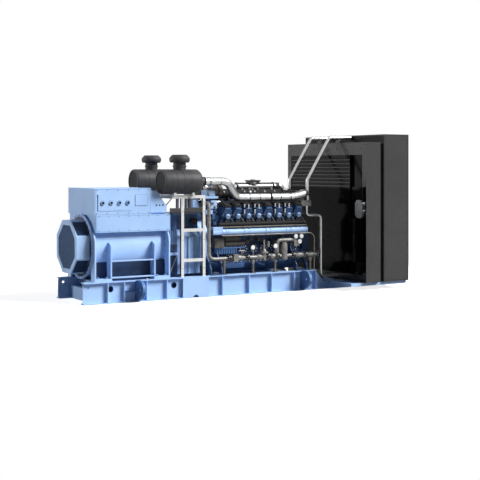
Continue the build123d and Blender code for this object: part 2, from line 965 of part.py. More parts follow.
# Mixer at the radiator end and charge pipes that come down to it from the filters
mixer = block(mixer_from, mixer_to, -mixer_half_width, mixer_half_width, mixer_step_z, mixer_top_z)
mixer += block(mixer_from, mixer_to, -mixer_step_half, mixer_step_half, mixer_bottom_z, mixer_step_z)
mixer += block(block_to, mixer_to, -mixer_foot_half, mixer_foot_half, front_case_top_z, mixer_bottom_z)
for side in sides.values():
    y0 = side * (coolant_y - thermostat_reach / 2)
    y1 = side * (coolant_y + thermostat_reach / 2)
    mixer += block(mixer_to, mixer_to + thermostat_reach, y0, y1, mixer_bottom_z, mixer_step_z)
keep("charge_mixer", mixer)
for name, side in sides.items():
    points = [
        (filter_to, side * filter_y, filter_z),
        (charge_drop_from, side * filter_y, filter_z),
        (charge_drop_to, side * charge_y, charge_z),
        (charge_rise_x, side * charge_y, charge_z),
        (charge_end_x, side * charge_y, charge_end_z),
        (charge_end_x, side * mixer_half_width, charge_end_z),
    ]
    pipe = bent_pipe(charge_radius, points, [charge_bend] * 3 + [charge_end_bend])
    pipe += rod_x(charge_hose_radius, filter_to, filter_to + charge_hose_length, side * filter_y, filter_z)
    keep("charge_pipe_" + name, pipe)

# Exhaust collector over the valley with its outlet flange
exhaust_points = [
    (exhaust_from, 0, valley_top_z),
    (exhaust_from, 0, exhaust_z),
    (exhaust_to, 0, exhaust_z),
    (exhaust_to, 0, valley_top_z),
]
exhaust = bent_pipe(exhaust_radius, exhaust_points, [exhaust_bend] * 2)
for x in (exhaust_from + exhaust_flange_inset, exhaust_to - exhaust_flange_inset):
    exhaust += rod_x(
        exhaust_flange_radius, x - exhaust_flange_thick, x + exhaust_flange_thick, 0, exhaust_z
    )
outlet_x = (outlet_from + outlet_to) / 2
outlet_out = outlet_half_width + outlet_flange
flange_from_z = outlet_top_z - outlet_flange_thick
exhaust += block(
    outlet_from + outlet_flange,
    outlet_to - outlet_flange,
    -outlet_half_width,
    outlet_half_width,
    exhaust_z,
    flange_from_z,
)
exhaust += block(outlet_from, outlet_to, -outlet_out, outlet_out, flange_from_z, outlet_top_z)
exhaust -= rod_z(outlet_bore, outlet_x, 0, outlet_top_z - outlet_bore_depth, outlet_top_z + 1)
keep("exhaust_collector", exhaust)

# Exhaust manifolds in the valley: a log on each side with a port up from every head
logs = []
for name, side in sides.items():
    log = rod_x(log_radius, log_from, log_to, side * log_y, log_z)
    port_from = bank_point(side, port_reach, port_inset - head_half_width)
    for count in range(cylinder_count):
        x = cylinder_first_x + count * cylinder_pitch
        log += bar_between(port_radius, (x, *port_from), (x, side * log_y, log_z))
    logs.append(log - heads[name])
keep("exhaust_manifolds", Compound(children=logs))

# Gas mixer: a tower on each side, joined low down by a duct with a foot
low, brim_low, brim_top, top = rear_house_tiers
rear = block(rear_neck_from, rear_neck_to, -rear_neck_half, rear_neck_half, rear_neck_low_z, low)
rear += block(rear_house_from, rear_neck_to, -rear_house_y, rear_house_y, rear_duct_low_z, low)
for side in sides.values():
    y0 = side * rear_house_inner_y
    y1 = side * rear_house_y
    brim_y0 = side * (rear_house_inner_y - rear_house_step)
    brim_y1 = side * (rear_house_y + rear_house_step)
    brim_from = rear_house_from - rear_house_brim
    brim_to = rear_house_to + rear_house_brim
    rear += block(rear_house_from, rear_house_to, y0, y1, low, brim_low)
    rear += block(brim_from, brim_to, brim_y0, brim_y1, brim_low, brim_top)
    rear += block(rear_house_from, rear_house_to - rear_house_step, y0, y1, brim_top, top)
keep("gas_mixer", rear - flywheel - engine)

# Gas train along the near side on its stands, and the feed pipe up to the mixer
train = rod_x(train_radius, feed_x + feed_run, train_to, -train_y, train_z)
for x in train_flange_places:
    train += rod_x(
        train_flange_radius, x - train_flange_thick / 2, x + train_flange_thick / 2, -train_y, train_z
    )
train += rod_x(train_flange_radius, train_to, train_to + train_flange_thick, -train_y, train_z)
train -= rod_x(
    train_inlet_bore,
    train_to + train_flange_thick - train_inlet_depth,
    train_to + train_flange_thick + 1,
    -train_y,
    train_z,
)
foot = train_stand_foot / 2
foot_top = beam_height + train_foot_thick
for x in train_stand_places[1:]:
    train += block(
        x - train_stand_half, x + train_stand_half, -train_y - train_stand_half, -train_y + train_stand_half,
        foot_top, train_z - train_stand_bite
    )
    train += block(x - foot, x + foot, -train_y - foot, -train_y + foot, beam_height, foot_top)
feed_points = [
    (feed_x, -rear_house_y, feed_join_z),
    (feed_x, -train_y, feed_join_z),
    (feed_x, -train_y, train_z),
    (feed_x + feed_run, -train_y, train_z),
]
train += bent_pipe(feed_radius, feed_points, [feed_join_bend, feed_bend])
keep("gas_train", train)

# Coolant pipes up to the radiator top and the return pipe low down
coolant = []
for side in sides.values():
    y = side * coolant_y
    points = [
        (coolant_x, y, mixer_step_z),
        (coolant_x, y, coolant_knee_z),
        (coolant_top_x, y, coolant_top_z),
        (rear_from, y, coolant_top_z),
    ]
    coolant.append(bent_pipe(coolant_radius, points, [coolant_bend] * 2))
keep("coolant_pipes", Compound(children=coolant))
return_points = [
    (return_from_x, -return_y, mixer_bottom_z),
    (return_from_x, -return_y, return_top_z),
    (return_x, -return_y, return_top_z),
    (return_x, -return_y, return_low_z),
    (front_from, -return_y, return_low_z),
]
keep("return_pipe", bent_pipe(return_radius, return_points, [return_bend] * 3))

# Radiator: front box with the screen and a header in the near bay, rear box with core and guard
front_box = block(front_from, front_to, -front_half_width, front_half_width, arm_height, front_top_z)
front_box -= block(
    front_from - 1, front_to + 1, -front_open_half, front_open_half, front_open_low, front_open_top
)
bay_y = -front_half_width + bay_wall
bay_to = front_from + front_open_depth
front_box -= block(front_from - 1, bay_to, bay_y, -front_open_half, bay_low_z, bay_step_z)
keep("radiator_front_box", front_box)

screen_to = front_from + screen_thick
screen = block(front_from, screen_to, screen_near_y, front_open_half, front_open_low, front_open_top)
slat_count = int((front_open_top - slat_top_band - slat_low_z) / slat_pitch)
for row in range(slat_count):
    z = slat_low_z + slat_gap / 2 + row * slat_pitch
    screen -= block(
        front_from - 1,
        front_from + slat_depth,
        screen_near_y + slat_side_band,
        front_open_half - slat_side_band,
        z,
        z + slat_gap,
    )
keep("radiator_screen", screen)

front_core_from = front_to - front_core_depth
header_to_y = screen_near_y - header_gap
header_near_y = header_gap - front_open_half
header = block(
    front_from + header_inset, front_core_from, header_near_y, header_to_y, header_upper_z, front_open_top
)
header += block(
    front_from + header_step, front_core_from, header_near_y, header_to_y, header_upper_z, bay_step_z
)
header += block(
    front_from + header_inset, front_core_from, header_near_y, header_to_y, front_open_low, header_upper_z
)
header += block(front_from, front_core_from, header_near_y, header_to_y, header_low_z, header_lower_top_z)
box_half = header_box_width / 2
box_mid = header_near_y + box_half
box_flat = box_half - header_box_corner
box_rise = header_box_corner
junction = plate_yz(
    [
        (box_mid - box_half, header_lower_top_z + box_rise),
        (box_mid - box_flat, header_lower_top_z),
        (box_mid + box_flat, header_lower_top_z),
        (box_mid + box_half, header_lower_top_z + box_rise),
        (box_mid + box_half, header_upper_z - box_rise),
        (box_mid + box_flat, header_upper_z),
        (box_mid - box_flat, header_upper_z),
        (box_mid - box_half, header_upper_z - box_rise),
    ],
    front_from,
    front_from + header_depth,
)
keep("radiator_header", header)
keep("radiator_junction_box", junction)

rear_box = block(rear_from, rear_to, -rear_half_width, rear_half_width, arm_height, rear_top_z)
rear_box += block(
    front_to,
    rear_from,
    -rear_half_width + slot_inset,
    rear_half_width - slot_inset,
    arm_height + slot_lift,
    front_top_z - slot_lift,
)
rear_core = block(
    rear_to - core_depth,
    rear_to,
    -rear_half_width + rear_frame_rim,
    rear_half_width - rear_frame_rim,
    rear_frame_low + rear_frame_rim,
    rear_frame_top - rear_frame_rim,
)
rear_box -= rear_core
keep("radiator_rear_box", rear_box)
front_core = block(
    front_core_from, front_to, -front_open_half, front_open_half, front_open_low, front_open_top
)
keep("radiator_core", Compound(children=[front_core, rear_core]))
guard_half = rear_half_width - guard_inset
guard_open_half = guard_half - rear_frame_rim
guard_low = rear_frame_low + rear_frame_rim
guard_high = rear_frame_top - rear_frame_rim
guard_to = rear_to + rear_frame_proud
guard = block(rear_to, guard_to, -guard_half, guard_half, rear_frame_low, rear_frame_top)
guard -= block(rear_to - 1, guard_to + 1, -guard_open_half, guard_open_half, guard_low, guard_high)
guard_step = (guard_high - guard_low) / (guard_bars + 1)
half_bar = guard_bar / 2
for row in range(guard_bars):
    z = guard_low + (row + 1) * guard_step
    guard += block(
        rear_to, rear_to + guard_bar, -guard_open_half, guard_open_half, z - half_bar, z + half_bar
    )
for y in guard_post_places:
    guard += block(rear_to, rear_to + guard_bar, y - guard_bar, y + guard_bar, guard_low, guard_high)
keep("radiator_rear_guard", guard)

# The whole set is moved so that the middle of its box's foot is the origin
boxes = [shape.bounding_box() for shape in nodes.values()]
low_x = min(box.min.X for box in boxes)
high_x = max(box.max.X for box in boxes)
shift = Pos(-(low_x + high_x) / 2, 0, -min(box.min.Z for box in boxes))
os.makedirs("parts", exist_ok=True)
for name, shape in nodes.items():
    export_step(shift * shape, f"parts/{name}.step")
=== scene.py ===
"""Open gas generator set: finishes and fine pieces laid round the fixed frame.

Pieces are written in millimetres along the set: X runs from the alternator end of the skid to the
radiator, Y to the far side, Z up from the floor. START moves them into the frame.
"""
import math

import bmesh
import bpy
import numpy as np
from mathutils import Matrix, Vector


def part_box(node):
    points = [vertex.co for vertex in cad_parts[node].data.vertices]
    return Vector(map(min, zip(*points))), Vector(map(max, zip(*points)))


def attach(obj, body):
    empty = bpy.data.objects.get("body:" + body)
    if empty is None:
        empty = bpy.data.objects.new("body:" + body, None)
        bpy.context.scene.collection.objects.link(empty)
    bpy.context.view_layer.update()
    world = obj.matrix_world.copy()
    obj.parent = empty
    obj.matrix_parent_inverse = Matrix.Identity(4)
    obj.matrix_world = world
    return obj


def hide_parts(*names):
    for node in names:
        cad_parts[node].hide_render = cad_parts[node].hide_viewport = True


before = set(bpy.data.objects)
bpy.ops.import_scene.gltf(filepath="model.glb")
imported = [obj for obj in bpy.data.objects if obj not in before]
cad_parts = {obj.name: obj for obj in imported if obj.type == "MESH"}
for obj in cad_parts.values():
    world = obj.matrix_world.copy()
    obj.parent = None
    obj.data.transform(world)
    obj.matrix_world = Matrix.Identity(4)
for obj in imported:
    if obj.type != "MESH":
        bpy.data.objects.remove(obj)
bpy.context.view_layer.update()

bl_info = {
    "name": "Gas generator set",
    "version": (1, 0, 0),
    "blender": (4, 5, 0),
    "location": "3D View > Sidebar > Generator",
    "description": "Dresses the frame of an open gas generator set with finishes and fine pieces",
    "category": "Add Mesh",
}

# A millimetre in metres, and how many of them make a metre
MM, METRE = 0.001, 1000.0
START = np.array([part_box("skid_beam_near")[0][0], 0.0, 0.0])
# The sides along Y, and the ways towards the radiator, the alternator, the near side and up
SIDES = {"near": -1, "far": 1}
ALONG, BACK, NEARWARD, UP = (1, 0, 0), (-1, 0, 0), (0, -1, 0), (0, 0, 1)
# Edges that turn by less than this stay smooth, and a bevel takes those that turn by more, in degrees
SMOOTH_UNDER = 35
BEVEL_OVER = 40

# Places that pieces share, in set millimetres
SKID_TOP = 400
SHAFT_Z = 1010
FOOT_SPANS = ((226, 536), (1413, 1715))
SOLE_Z = 450
CRANK_Z = 950
TILT = math.radians(30)
CYLINDER_FIRST = 3009
CYLINDER_PITCH = 236
FILTER_Y = 600
FILTER_Z = 2196
CAP_X = 1951
RADIATOR_BOX = (6180, 6820)
RADIATOR_PIPE_Y = (-330, 330)
RADIATOR_PIPE_Z = 3087

# Camera: a level lens matched to the photograph, with the horizon above the middle
CAMERA_PLACE = (-10.797, -18.52, 2.454)
CAMERA_TURN = (90.0, 0.0, -30.8)
CAMERA_LENS = 80.475
CAMERA_SHIFT = -0.15

# Light: the directions that the two far lamps shine from, and the left one's share of the key's power
KEY_FROM = (0.6037, -0.5065, 0.6157)
FILL_FROM = (-0.85, 0.49, 0.21)
FILL_SHARE = 0.26
WHITE = (1, 1, 1, 1)
FLOOR_Z = -0.002


def linear(code):
    """An sRGB hex code as linear red, green and blue, with an alpha of one."""
    value = np.array([int(code[i : i + 2], 16) for i in (0, 2, 4)]) / 255.0
    bright = ((value + 0.055) / 1.055) ** 2.4
    return (*np.where(value <= 0.04045, value / 12.92, bright), 1.0)


# Surfaces: each returns (points, faces) with the faces as lists of point numbers


def skin(rows):
    """Rings of points joined ring to ring by four-cornered faces and closed by a flat face at each end."""
    count, around = rows.shape[:2]
    index = np.arange(count * around).reshape(count, around)
    after = np.roll(index, -1, axis=1)
    quads = np.stack([index[:-1], after[:-1], after[1:], index[1:]], axis=-1).reshape(-1, 4)
    return rows.reshape(-1, 3), quads.tolist() + [index[0, ::-1].tolist(), index[-1].tolist()]


def unit(vector):
    """A direction of length one."""
    vector = np.asarray(vector, float)
    return vector / np.linalg.norm(vector)


def square_to(way):
    """Two unit directions square to way and to each other."""
    way = unit(way)
    helper = (0.0, 0.0, 1.0) if abs(way[2]) < 0.9 else (1.0, 0.0, 0.0)
    side = unit(np.cross(helper, way))
    return side, np.cross(way, side)


def lathe(profile, start, way, turns=48):
    """A turned form: each (along, radius) of the profile becomes a ring, start + along * way + radius
    * (cos * side + sin * up)."""
    profile = np.asarray(profile, float)
    way = unit(way)
    side, up = square_to(way)
    angle = np.linspace(0, 2 * np.pi, turns, endpoint=False) + np.pi / turns
    spoke = np.cos(angle)[:, None] * side + np.sin(angle)[:, None] * up
    along = np.asarray(start, float) + profile[:, :1] * way
    return skin(along[:, None] + profile[:, 1][:, None, None] * spoke[None])


def route(corners, bends, steps=9):
    """Straight runs with an arc at each corner: from its start the arc goes bend * sin(t) along the way
    in and bend * (1 - cos(t)) towards the way out."""
    corners = np.asarray(corners, float)
    parts = [corners[:1]]
    for before, corner, after, bend in zip(corners, corners[1:], corners[2:], bends):
        way_in = unit(corner - before)
        way_out = unit(after - corner)
        turn = math.acos(float(np.clip(way_in @ way_out, -1, 1)))
        inward = unit(way_out - way_in * (way_in @ way_out))
        t = np.linspace(0, turn, steps)[:, None]
        begin = corner - way_in * bend * math.tan(turn / 2)
        parts.append(begin + bend * (np.sin(t) * way_in + (1 - np.cos(t)) * inward))
    return np.concatenate(parts + [corners[-1:]])


def tube(line, radius, turns=28, lean=(0.13, 0.31, 0.94)):
    """A ring square to the line at each of its points; radius may be one value or one a point."""
    line = np.asarray(line, float)
    way = np.gradient(line, axis=0)
    way /= np.linalg.norm(way, axis=1)[:, None]
    side = np.cross(lean, way)
    side /= np.linalg.norm(side, axis=1)[:, None]
    up = np.cross(way, side)
    angle = np.linspace(0, 2 * np.pi, turns, endpoint=False)
    spoke = np.cos(angle)[None, :, None] * side[:, None] + np.sin(angle)[None, :, None] * up[:, None]
    reach = np.broadcast_to(np.asarray(radius, float), (len(line),))
    return skin(line[:, None] + reach[:, None, None] * spoke)


def prism(outline, axis, low, high):
    """A flat outline carried straight from low to high along axis 0, 1 or 2."""
    flat = np.asarray(outline, float)
    return skin(np.stack([np.insert(flat, axis, low, axis=1), np.insert(flat, axis, high, axis=1)]))


CORNER = np.array([[i, j, k] for i in (0, 1) for j in (0, 1) for k in (0, 1)])
WALLS = np.array([[0, 1, 3, 2], [4, 6, 7, 5], [0, 4, 5, 1], [2, 3, 7, 6], [0, 2, 6, 4], [1, 5, 7, 3]])


def blocks(spans, side=1):
    """Closed blocks: each row of spans is x0, x1, y0, y1, z0, z1, with Y counted towards the side, and its
    corners are all their choices."""
    span = np.sort(np.asarray(spans, float).reshape(-1, 3, 2) * [[1], [side], [1]], axis=2)
    points = span[:, np.arange(3)[None], CORNER]
    faces = WALLS[None] + 8 * np.arange(len(span))[:, None, None]
    return points.reshape(-1, 3), faces.reshape(-1, 4).tolist()


def on(side, places):
    """Places with their Y counted towards the side."""
    return np.asarray(places, float) * (1, side, 1)


def copies(shape, places):
    """The shape again at each place: every point plus every place."""
    points, faces = shape
    places = np.asarray(places, float).reshape(-1, 3)
    moved = (points[None] + places[:, None]).reshape(-1, 3)
    firsts = range(0, len(moved), len(points))
    return moved, [[corner + first for corner in face] for first in firsts for face in faces]


def merged(*shapes):
    """Several shapes as one."""
    counts = np.cumsum([0] + [len(points) for points, _ in shapes])
    faces = [[corner + first for corner in face] for (_, part), first in zip(shapes, counts) for face in part]
    return np.concatenate([points for points, _ in shapes]), faces


def bolts(places, way, across=24.0, height=12.0):
    """Hexagon heads on washers: a six-sided turned form with a chamfered top, at each place."""
    radius = across / math.sqrt(3)
    head = [(0.2 * height, radius), (0.85 * height, radius), (height, 0.8 * radius)]
    washer = [(0, 1.35 * radius), (0.22 * height, 1.35 * radius)]
    one = merged(lathe(washer, (0, 0, 0), way, 14), lathe(head, (0, 0, 0), way, 6))
    return copies(one, places)


def circle_of(centre, way, radius, count, first=0.0):
    """Places evenly round a circle square to way."""
    side, up = square_to(way)
    angle = first + np.linspace(0, 2 * np.pi, count, endpoint=False)
    return np.asarray(centre, float) + radius * (np.cos(angle)[:, None] * side + np.sin(angle)[:, None] * up)


def row_of(start, end, count):
    """Places evenly along a line, both ends included."""
    return np.linspace(np.asarray(start, float), np.asarray(end, float), count)


def linked(name, data):
    """A new object of the scene that shows data."""
    item = bpy.data.objects.new(name, data)
    bpy.context.scene.collection.objects.link(item)
    return item


def put(name, finish, *shapes, bevel=0.0, stands_for=()):
    """Makes the piece: its shapes as one mesh in the frame's metres, with its finish, riding on the set."""
    points, faces = merged(*shapes)
    mesh = bpy.data.meshes.new(name)
    mesh.from_pydata(points * MM + START, [], faces)
    work = bmesh.new()
    work.from_mesh(mesh)
    bmesh.ops.recalc_face_normals(work, faces=work.faces)
    work.to_mesh(mesh)
    work.free()
    mesh.materials.append(bpy.data.materials[finish])
    mesh.shade_smooth()
    mesh.set_sharp_from_angle(angle=math.radians(SMOOTH_UNDER))
    piece = linked(name, mesh)
    if bevel:
        edge = piece.modifiers.new("soft_edges", "BEVEL")
        edge.width = bevel * MM
        edge.segments = 2
        edge.limit_method = "ANGLE"
        edge.angle_limit = math.radians(BEVEL_OVER)
        edge.harden_normals = True
    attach(piece, "root")
    if stands_for:
        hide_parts(*stands_for)


# Finishes


def add(tree, kind, settings=None, links=None):
    """Adds a node, sets its named inputs or properties, and joins sockets to its inputs."""
    node = tree.nodes.new(kind)
    for key, value in (settings or {}).items():
        if isinstance(key, str) and hasattr(node, key):
            setattr(node, key, value)
        else:
            node.inputs[key].default_value = value
    for key, socket in (links or {}).items():
        tree.links.new(socket, node.inputs[key])
    return node


def maths(tree, operation, *inputs):
    """What comes out of a maths node whose inputs are sockets or numbers."""
    node = add(tree, "ShaderNodeMath", {"operation": operation})
    for value, socket in zip(inputs, node.inputs):
        if isinstance(value, float):
            socket.default_value = value
        else:
            tree.links.new(value, socket)
    return node.outputs[0]


def colours(tree, share, first, second):
    """The colour that goes from the first hex code to the second with share."""
    codes = {"data_type": "RGBA", 6: linear(first), 7: linear(second)}
    return add(tree, "ShaderNodeMix", codes, {"Factor": share}).outputs[2]


def finish(name, colour, tone, roughness, spread, patch, grain, relief, sockets=None):
    """A surface whose colour drifts towards tone in patches, whose gloss varies by spread about
    roughness in the same grain that lifts it by relief; patch, grain and relief are in millimetres."""
    material = bpy.data.materials.new(name)
    material.use_nodes = True
    tree = material.node_tree
    shader = tree.nodes["Principled BSDF"]
    place = {"Vector": add(tree, "ShaderNodeTexCoord").outputs["Object"]}
    patches = {"Scale": METRE / patch, "Detail": 3.0, "Roughness": 0.55}
    broad = add(tree, "ShaderNodeTexNoise", patches, place).outputs["Fac"]
    fine = add(tree, "ShaderNodeTexNoise", {"Scale": METRE / grain, "Detail": 4.0}, place).outputs["Fac"]
    share = add(tree, "ShaderNodeMapRange", {"From Min": 0.35, "From Max": 0.72}, {"Value": broad})
    blend = colours(tree, share.outputs["Result"], colour, tone)
    levels = {"From Min": 0.3, "From Max": 0.7, "To Min": roughness - spread, "To Max": roughness + spread}
    gloss = add(tree, "ShaderNodeMapRange", levels, {"Value": fine})
    lift = add(tree, "ShaderNodeBump", {"Distance": relief * MM, "Strength": 0.8}, {"Height": fine})
    tree.links.new(blend, shader.inputs["Base Color"])
    tree.links.new(gloss.outputs["Result"], shader.inputs["Roughness"])
    tree.links.new(lift.outputs["Normal"], shader.inputs["Normal"])
    for key, value in (sockets or {}).items():
        shader.inputs[key].default_value = value


# Low level of the clear reflection, so that dark paint doesn't pale under the white world
LOW_GLOSS = {"Specular IOR Level": 0.2}
DARK_RIM = {"Metallic": 1.0, "Specular Tint": (0.02, 0.02, 0.02, 1.0)}

# Each finish after its real surface or the shade that it paints: slot, colour, tone, roughness and its
# spread, then patch, grain and relief in millimetres, and further sockets
FINISHES = {
    # Two-pack enamel sprayed on welded steel: an even light blue with a soft gloss and faint orange peel
    "blue_enamel": ("painted_steel_blue", "AECFFA", "A4C5F1", 0.40, 0.06, 420, 9, 0.05, LOW_GLOSS),
    # The same enamel made deeper as painted shade on the engine's heads, pan and mounts and on the coupling
    # hood; uneven and duller in the hollows
    "engine_enamel": ("painted_steel_blue", "45628D", "374F76", 0.36, 0.08, 130, 6, 0.25, LOW_GLOSS),
    # Gloss enamel on square tube: clean white with a slight cream drift
    "white_enamel": (
        "painted_steel_white", "DEDFDE", "D2D3D1", 0.35, 0.05, 260, 8, 0.04,
        {"Coat Weight": 0.25, "Coat Roughness": 0.15},
    ),
    # Polyester powder coat on sheet: dark grey with a fine pebbled skin
    "grey_powder_coat": ("painted_steel_black", "333334", "2D2D2E", 0.22, 0.04, 600, 5, 0.02),
    # Black coated sheet low on the radiator's screen: nearly black, with a clear gloss
    "black_gloss_panel": (
        "painted_steel_black", "0E0E0F", "0A0A0B", 0.10, 0.03, 350, 30, 0.01, {"Specular IOR Level": 0.04}
    ),
    # Injection-moulded glass-filled nylon: charcoal with a satin spark-eroded grain
    "moulded_nylon": ("dark_plastic", "404042", "37373A", 0.50, 0.07, 160, 4, 0.10, LOW_GLOSS),
    # Polished stainless tube: bright metal with soft rolling marks, darker where it turns away
    "stainless_tube": ("polished_steel", "BEBFC0", "AAABAC", 0.36, 0.05, 90, 14, 0.01, DARK_RIM),
    # Sand-cast aluminium: pale grey, matt and pitted
    "sand_cast_aluminium": ("cast_grey", "868583", "646361", 0.48, 0.10, 60, 5, 0.30, {"Metallic": 0.5}),
    # Zinc-plated fasteners: cool satin metal
    "zinc_plated": ("polished_steel", "C6C9CC", "A9ADB2", 0.34, 0.08, 20, 3, 0.03, {"Metallic": 1.0}),
    # Cloth-wrapped rubber hose: black and dull with a weave that catches little light
    "rubber_hose": ("dark_plastic", "1D1D1E", "262627", 0.72, 0.08, 40, 5, 0.30, LOW_GLOSS),
    # White enamelled dial behind glass
    "dial_enamel": ("painted_steel_white", "F6F6F4", "ECECEA", 0.22, 0.04, 40, 9, 0.01, {"Coat Weight": 0.6}),
    # Navy and dull sheet deep in the air inlet: painted shade of the hollow behind the wires
    "steel_mesh": ("core_dark", "2C466C", "20354F", 0.50, 0.10, 60, 7, 0.40, LOW_GLOSS),
    # Dip-coated cooler fins: black, dull and even
    "cooler_fins": ("core_dark", "202022", "17171A", 0.55, 0.10, 180, 12, 0.50),
    # Galvanised wire before the navy back plate of painted shade: dull blue-grey
    "zinc_mesh": ("core_dark", "6583B0", "56729C", 0.50, 0.10, 60, 7, 0.10, LOW_GLOSS),
    # Black enamelled flanges: thick gloss over turned steel
    "black_steel": ("painted_steel_black", "232325", "1A1A1C", 0.34, 0.07, 60, 8, 0.06),
    # Black-zinc screws: dark satin metal
    "zinc_black": ("painted_steel_black", "2E2F31", "222325", 0.38, 0.08, 20, 3, 0.03, {"Metallic": 0.8}),
    # Blue enamel a shade deeper and duller: the own colour of panel joints and bolt heads, and painted shade
    # on the bell housing
    "blue_shadow": ("painted_steel_blue", "7F9CC6", "7390BA", 0.50, 0.06, 120, 6, 0.04),
    # Glass-cloth lagging round the hot manifolds: black and dull, woven
    "heat_wrap": ("cast_grey", "17171A", "101012", 0.70, 0.08, 60, 6, 0.40, LOW_GLOSS),
    # Dark navy enamel with a dull gloss: painted shade on the crankcase and gear case, in the alternator's
    # frame and inlet, on the bell cover, the coupling block and the mixer cores
    "shaded_enamel": ("painted_steel_blue", "24395A", "1D2F4C", 0.42, 0.08, 150, 7, 0.20, LOW_GLOSS),
    # Black sheet behind the louvres: dark, with only a faint mirror of what stands before it
    "matt_black_panel": (
        "painted_steel_black", "0C0C0D", "09090A", 0.10, 0.03, 350, 9, 0.01, {"Specular IOR Level": 0.12}
    ),
    # Enamel between the light blue and the deep one: painted half-shade on the side castings, the pan wedges,
    # the bank plates and the lifting lugs
    "mid_enamel": ("painted_steel_blue", "5F83B6", "5275A6", 0.40, 0.08, 150, 7, 0.20, LOW_GLOSS),
    # Grey iron and aluminium filmed with oil: brown-grey and dull
    "oiled_casting": ("cast_grey", "736E69", "54504C", 0.50, 0.10, 70, 5, 0.30, LOW_GLOSS),
    # Dull zinc on rods, studs and small pipes
    "dull_zinc": ("cast_grey", "8B8F9C", "6F727C", 0.50, 0.10, 30, 4, 0.10, {"Metallic": 0.5}),
    # Grey primer on the junction box and the coupling's brace
    "grey_primer": ("cast_grey", "8A8A88", "7A7A78", 0.60, 0.06, 120, 6, 0.05),
}

# The CAD nodes of each finish by how their names start; the longest start counts
CAD_FINISH = {
    "blue_enamel": [
        "skid_", "radiator_base", "alternator_", "terminal_", "flywheel_housing", "coolant_rail", "gas_mixer"
    ],
    # Painted shade on CAD nodes: the bell housing a shade deeper, the lugs in half-shade, the block and gear
    # case dark navy, the pan, heads and mounts in the deeper engine enamel
    "blue_shadow": ["bell_housing"],
    "mid_enamel": ["lifting_lug"],
    "shaded_enamel": ["engine_block", "front_gear_case"],
    "engine_enamel": ["oil_pan", "cylinder_heads", "engine_mount"],
    "white_enamel": ["filter_stand"],
    "moulded_nylon": ["air_filter"],
    "steel_mesh": ["alternator_inlet_grille"],
    "heat_wrap": ["exhaust_manifolds"],
    "matt_black_panel": ["radiator_screen", "radiator_header"],
    "cooler_fins": ["radiator_core"],
    "grey_primer": ["radiator_junction_box"],
    "grey_powder_coat": ["radiator_"],
    "stainless_tube": ["charge_pipe", "coolant_pipes", "return_pipe", "exhaust_collector"],
    "rubber_hose": ["charge_manifold"],
    "sand_cast_aluminium": ["charge_mixer", "gas_train"],
}


# Stage


def area_light(name, place, aim, size, power):
    """A soft rectangular lamp at place, turned to aim."""
    data = bpy.data.lights.new(name, "AREA")
    data.shape = "RECTANGLE"
    data.size, data.size_y = size
    data.energy = power
    lamp = linked(name, data)
    lamp.location = place
    x, y, z = np.asarray(aim, float) - np.asarray(place, float)
    lamp.rotation_euler = (math.atan2(math.hypot(x, y), -z), 0.0, math.atan2(y, x) - math.pi / 2)


def sun_light(name, towards, spread, power):
    """A far soft lamp that shines from the direction towards, seen under an angle of spread degrees."""
    data = bpy.data.lights.new(name, "SUN")
    data.energy = power
    data.angle = math.radians(spread)
    x, y, z = unit(towards)
    linked(name, data).rotation_euler = (math.acos(z), 0.0, math.atan2(y, x) + math.pi / 2)


def empty_tree(owner):
    """The node tree of a world or material, with nothing in it."""
    owner.use_nodes = True
    owner.node_tree.nodes.clear()
    return owner.node_tree


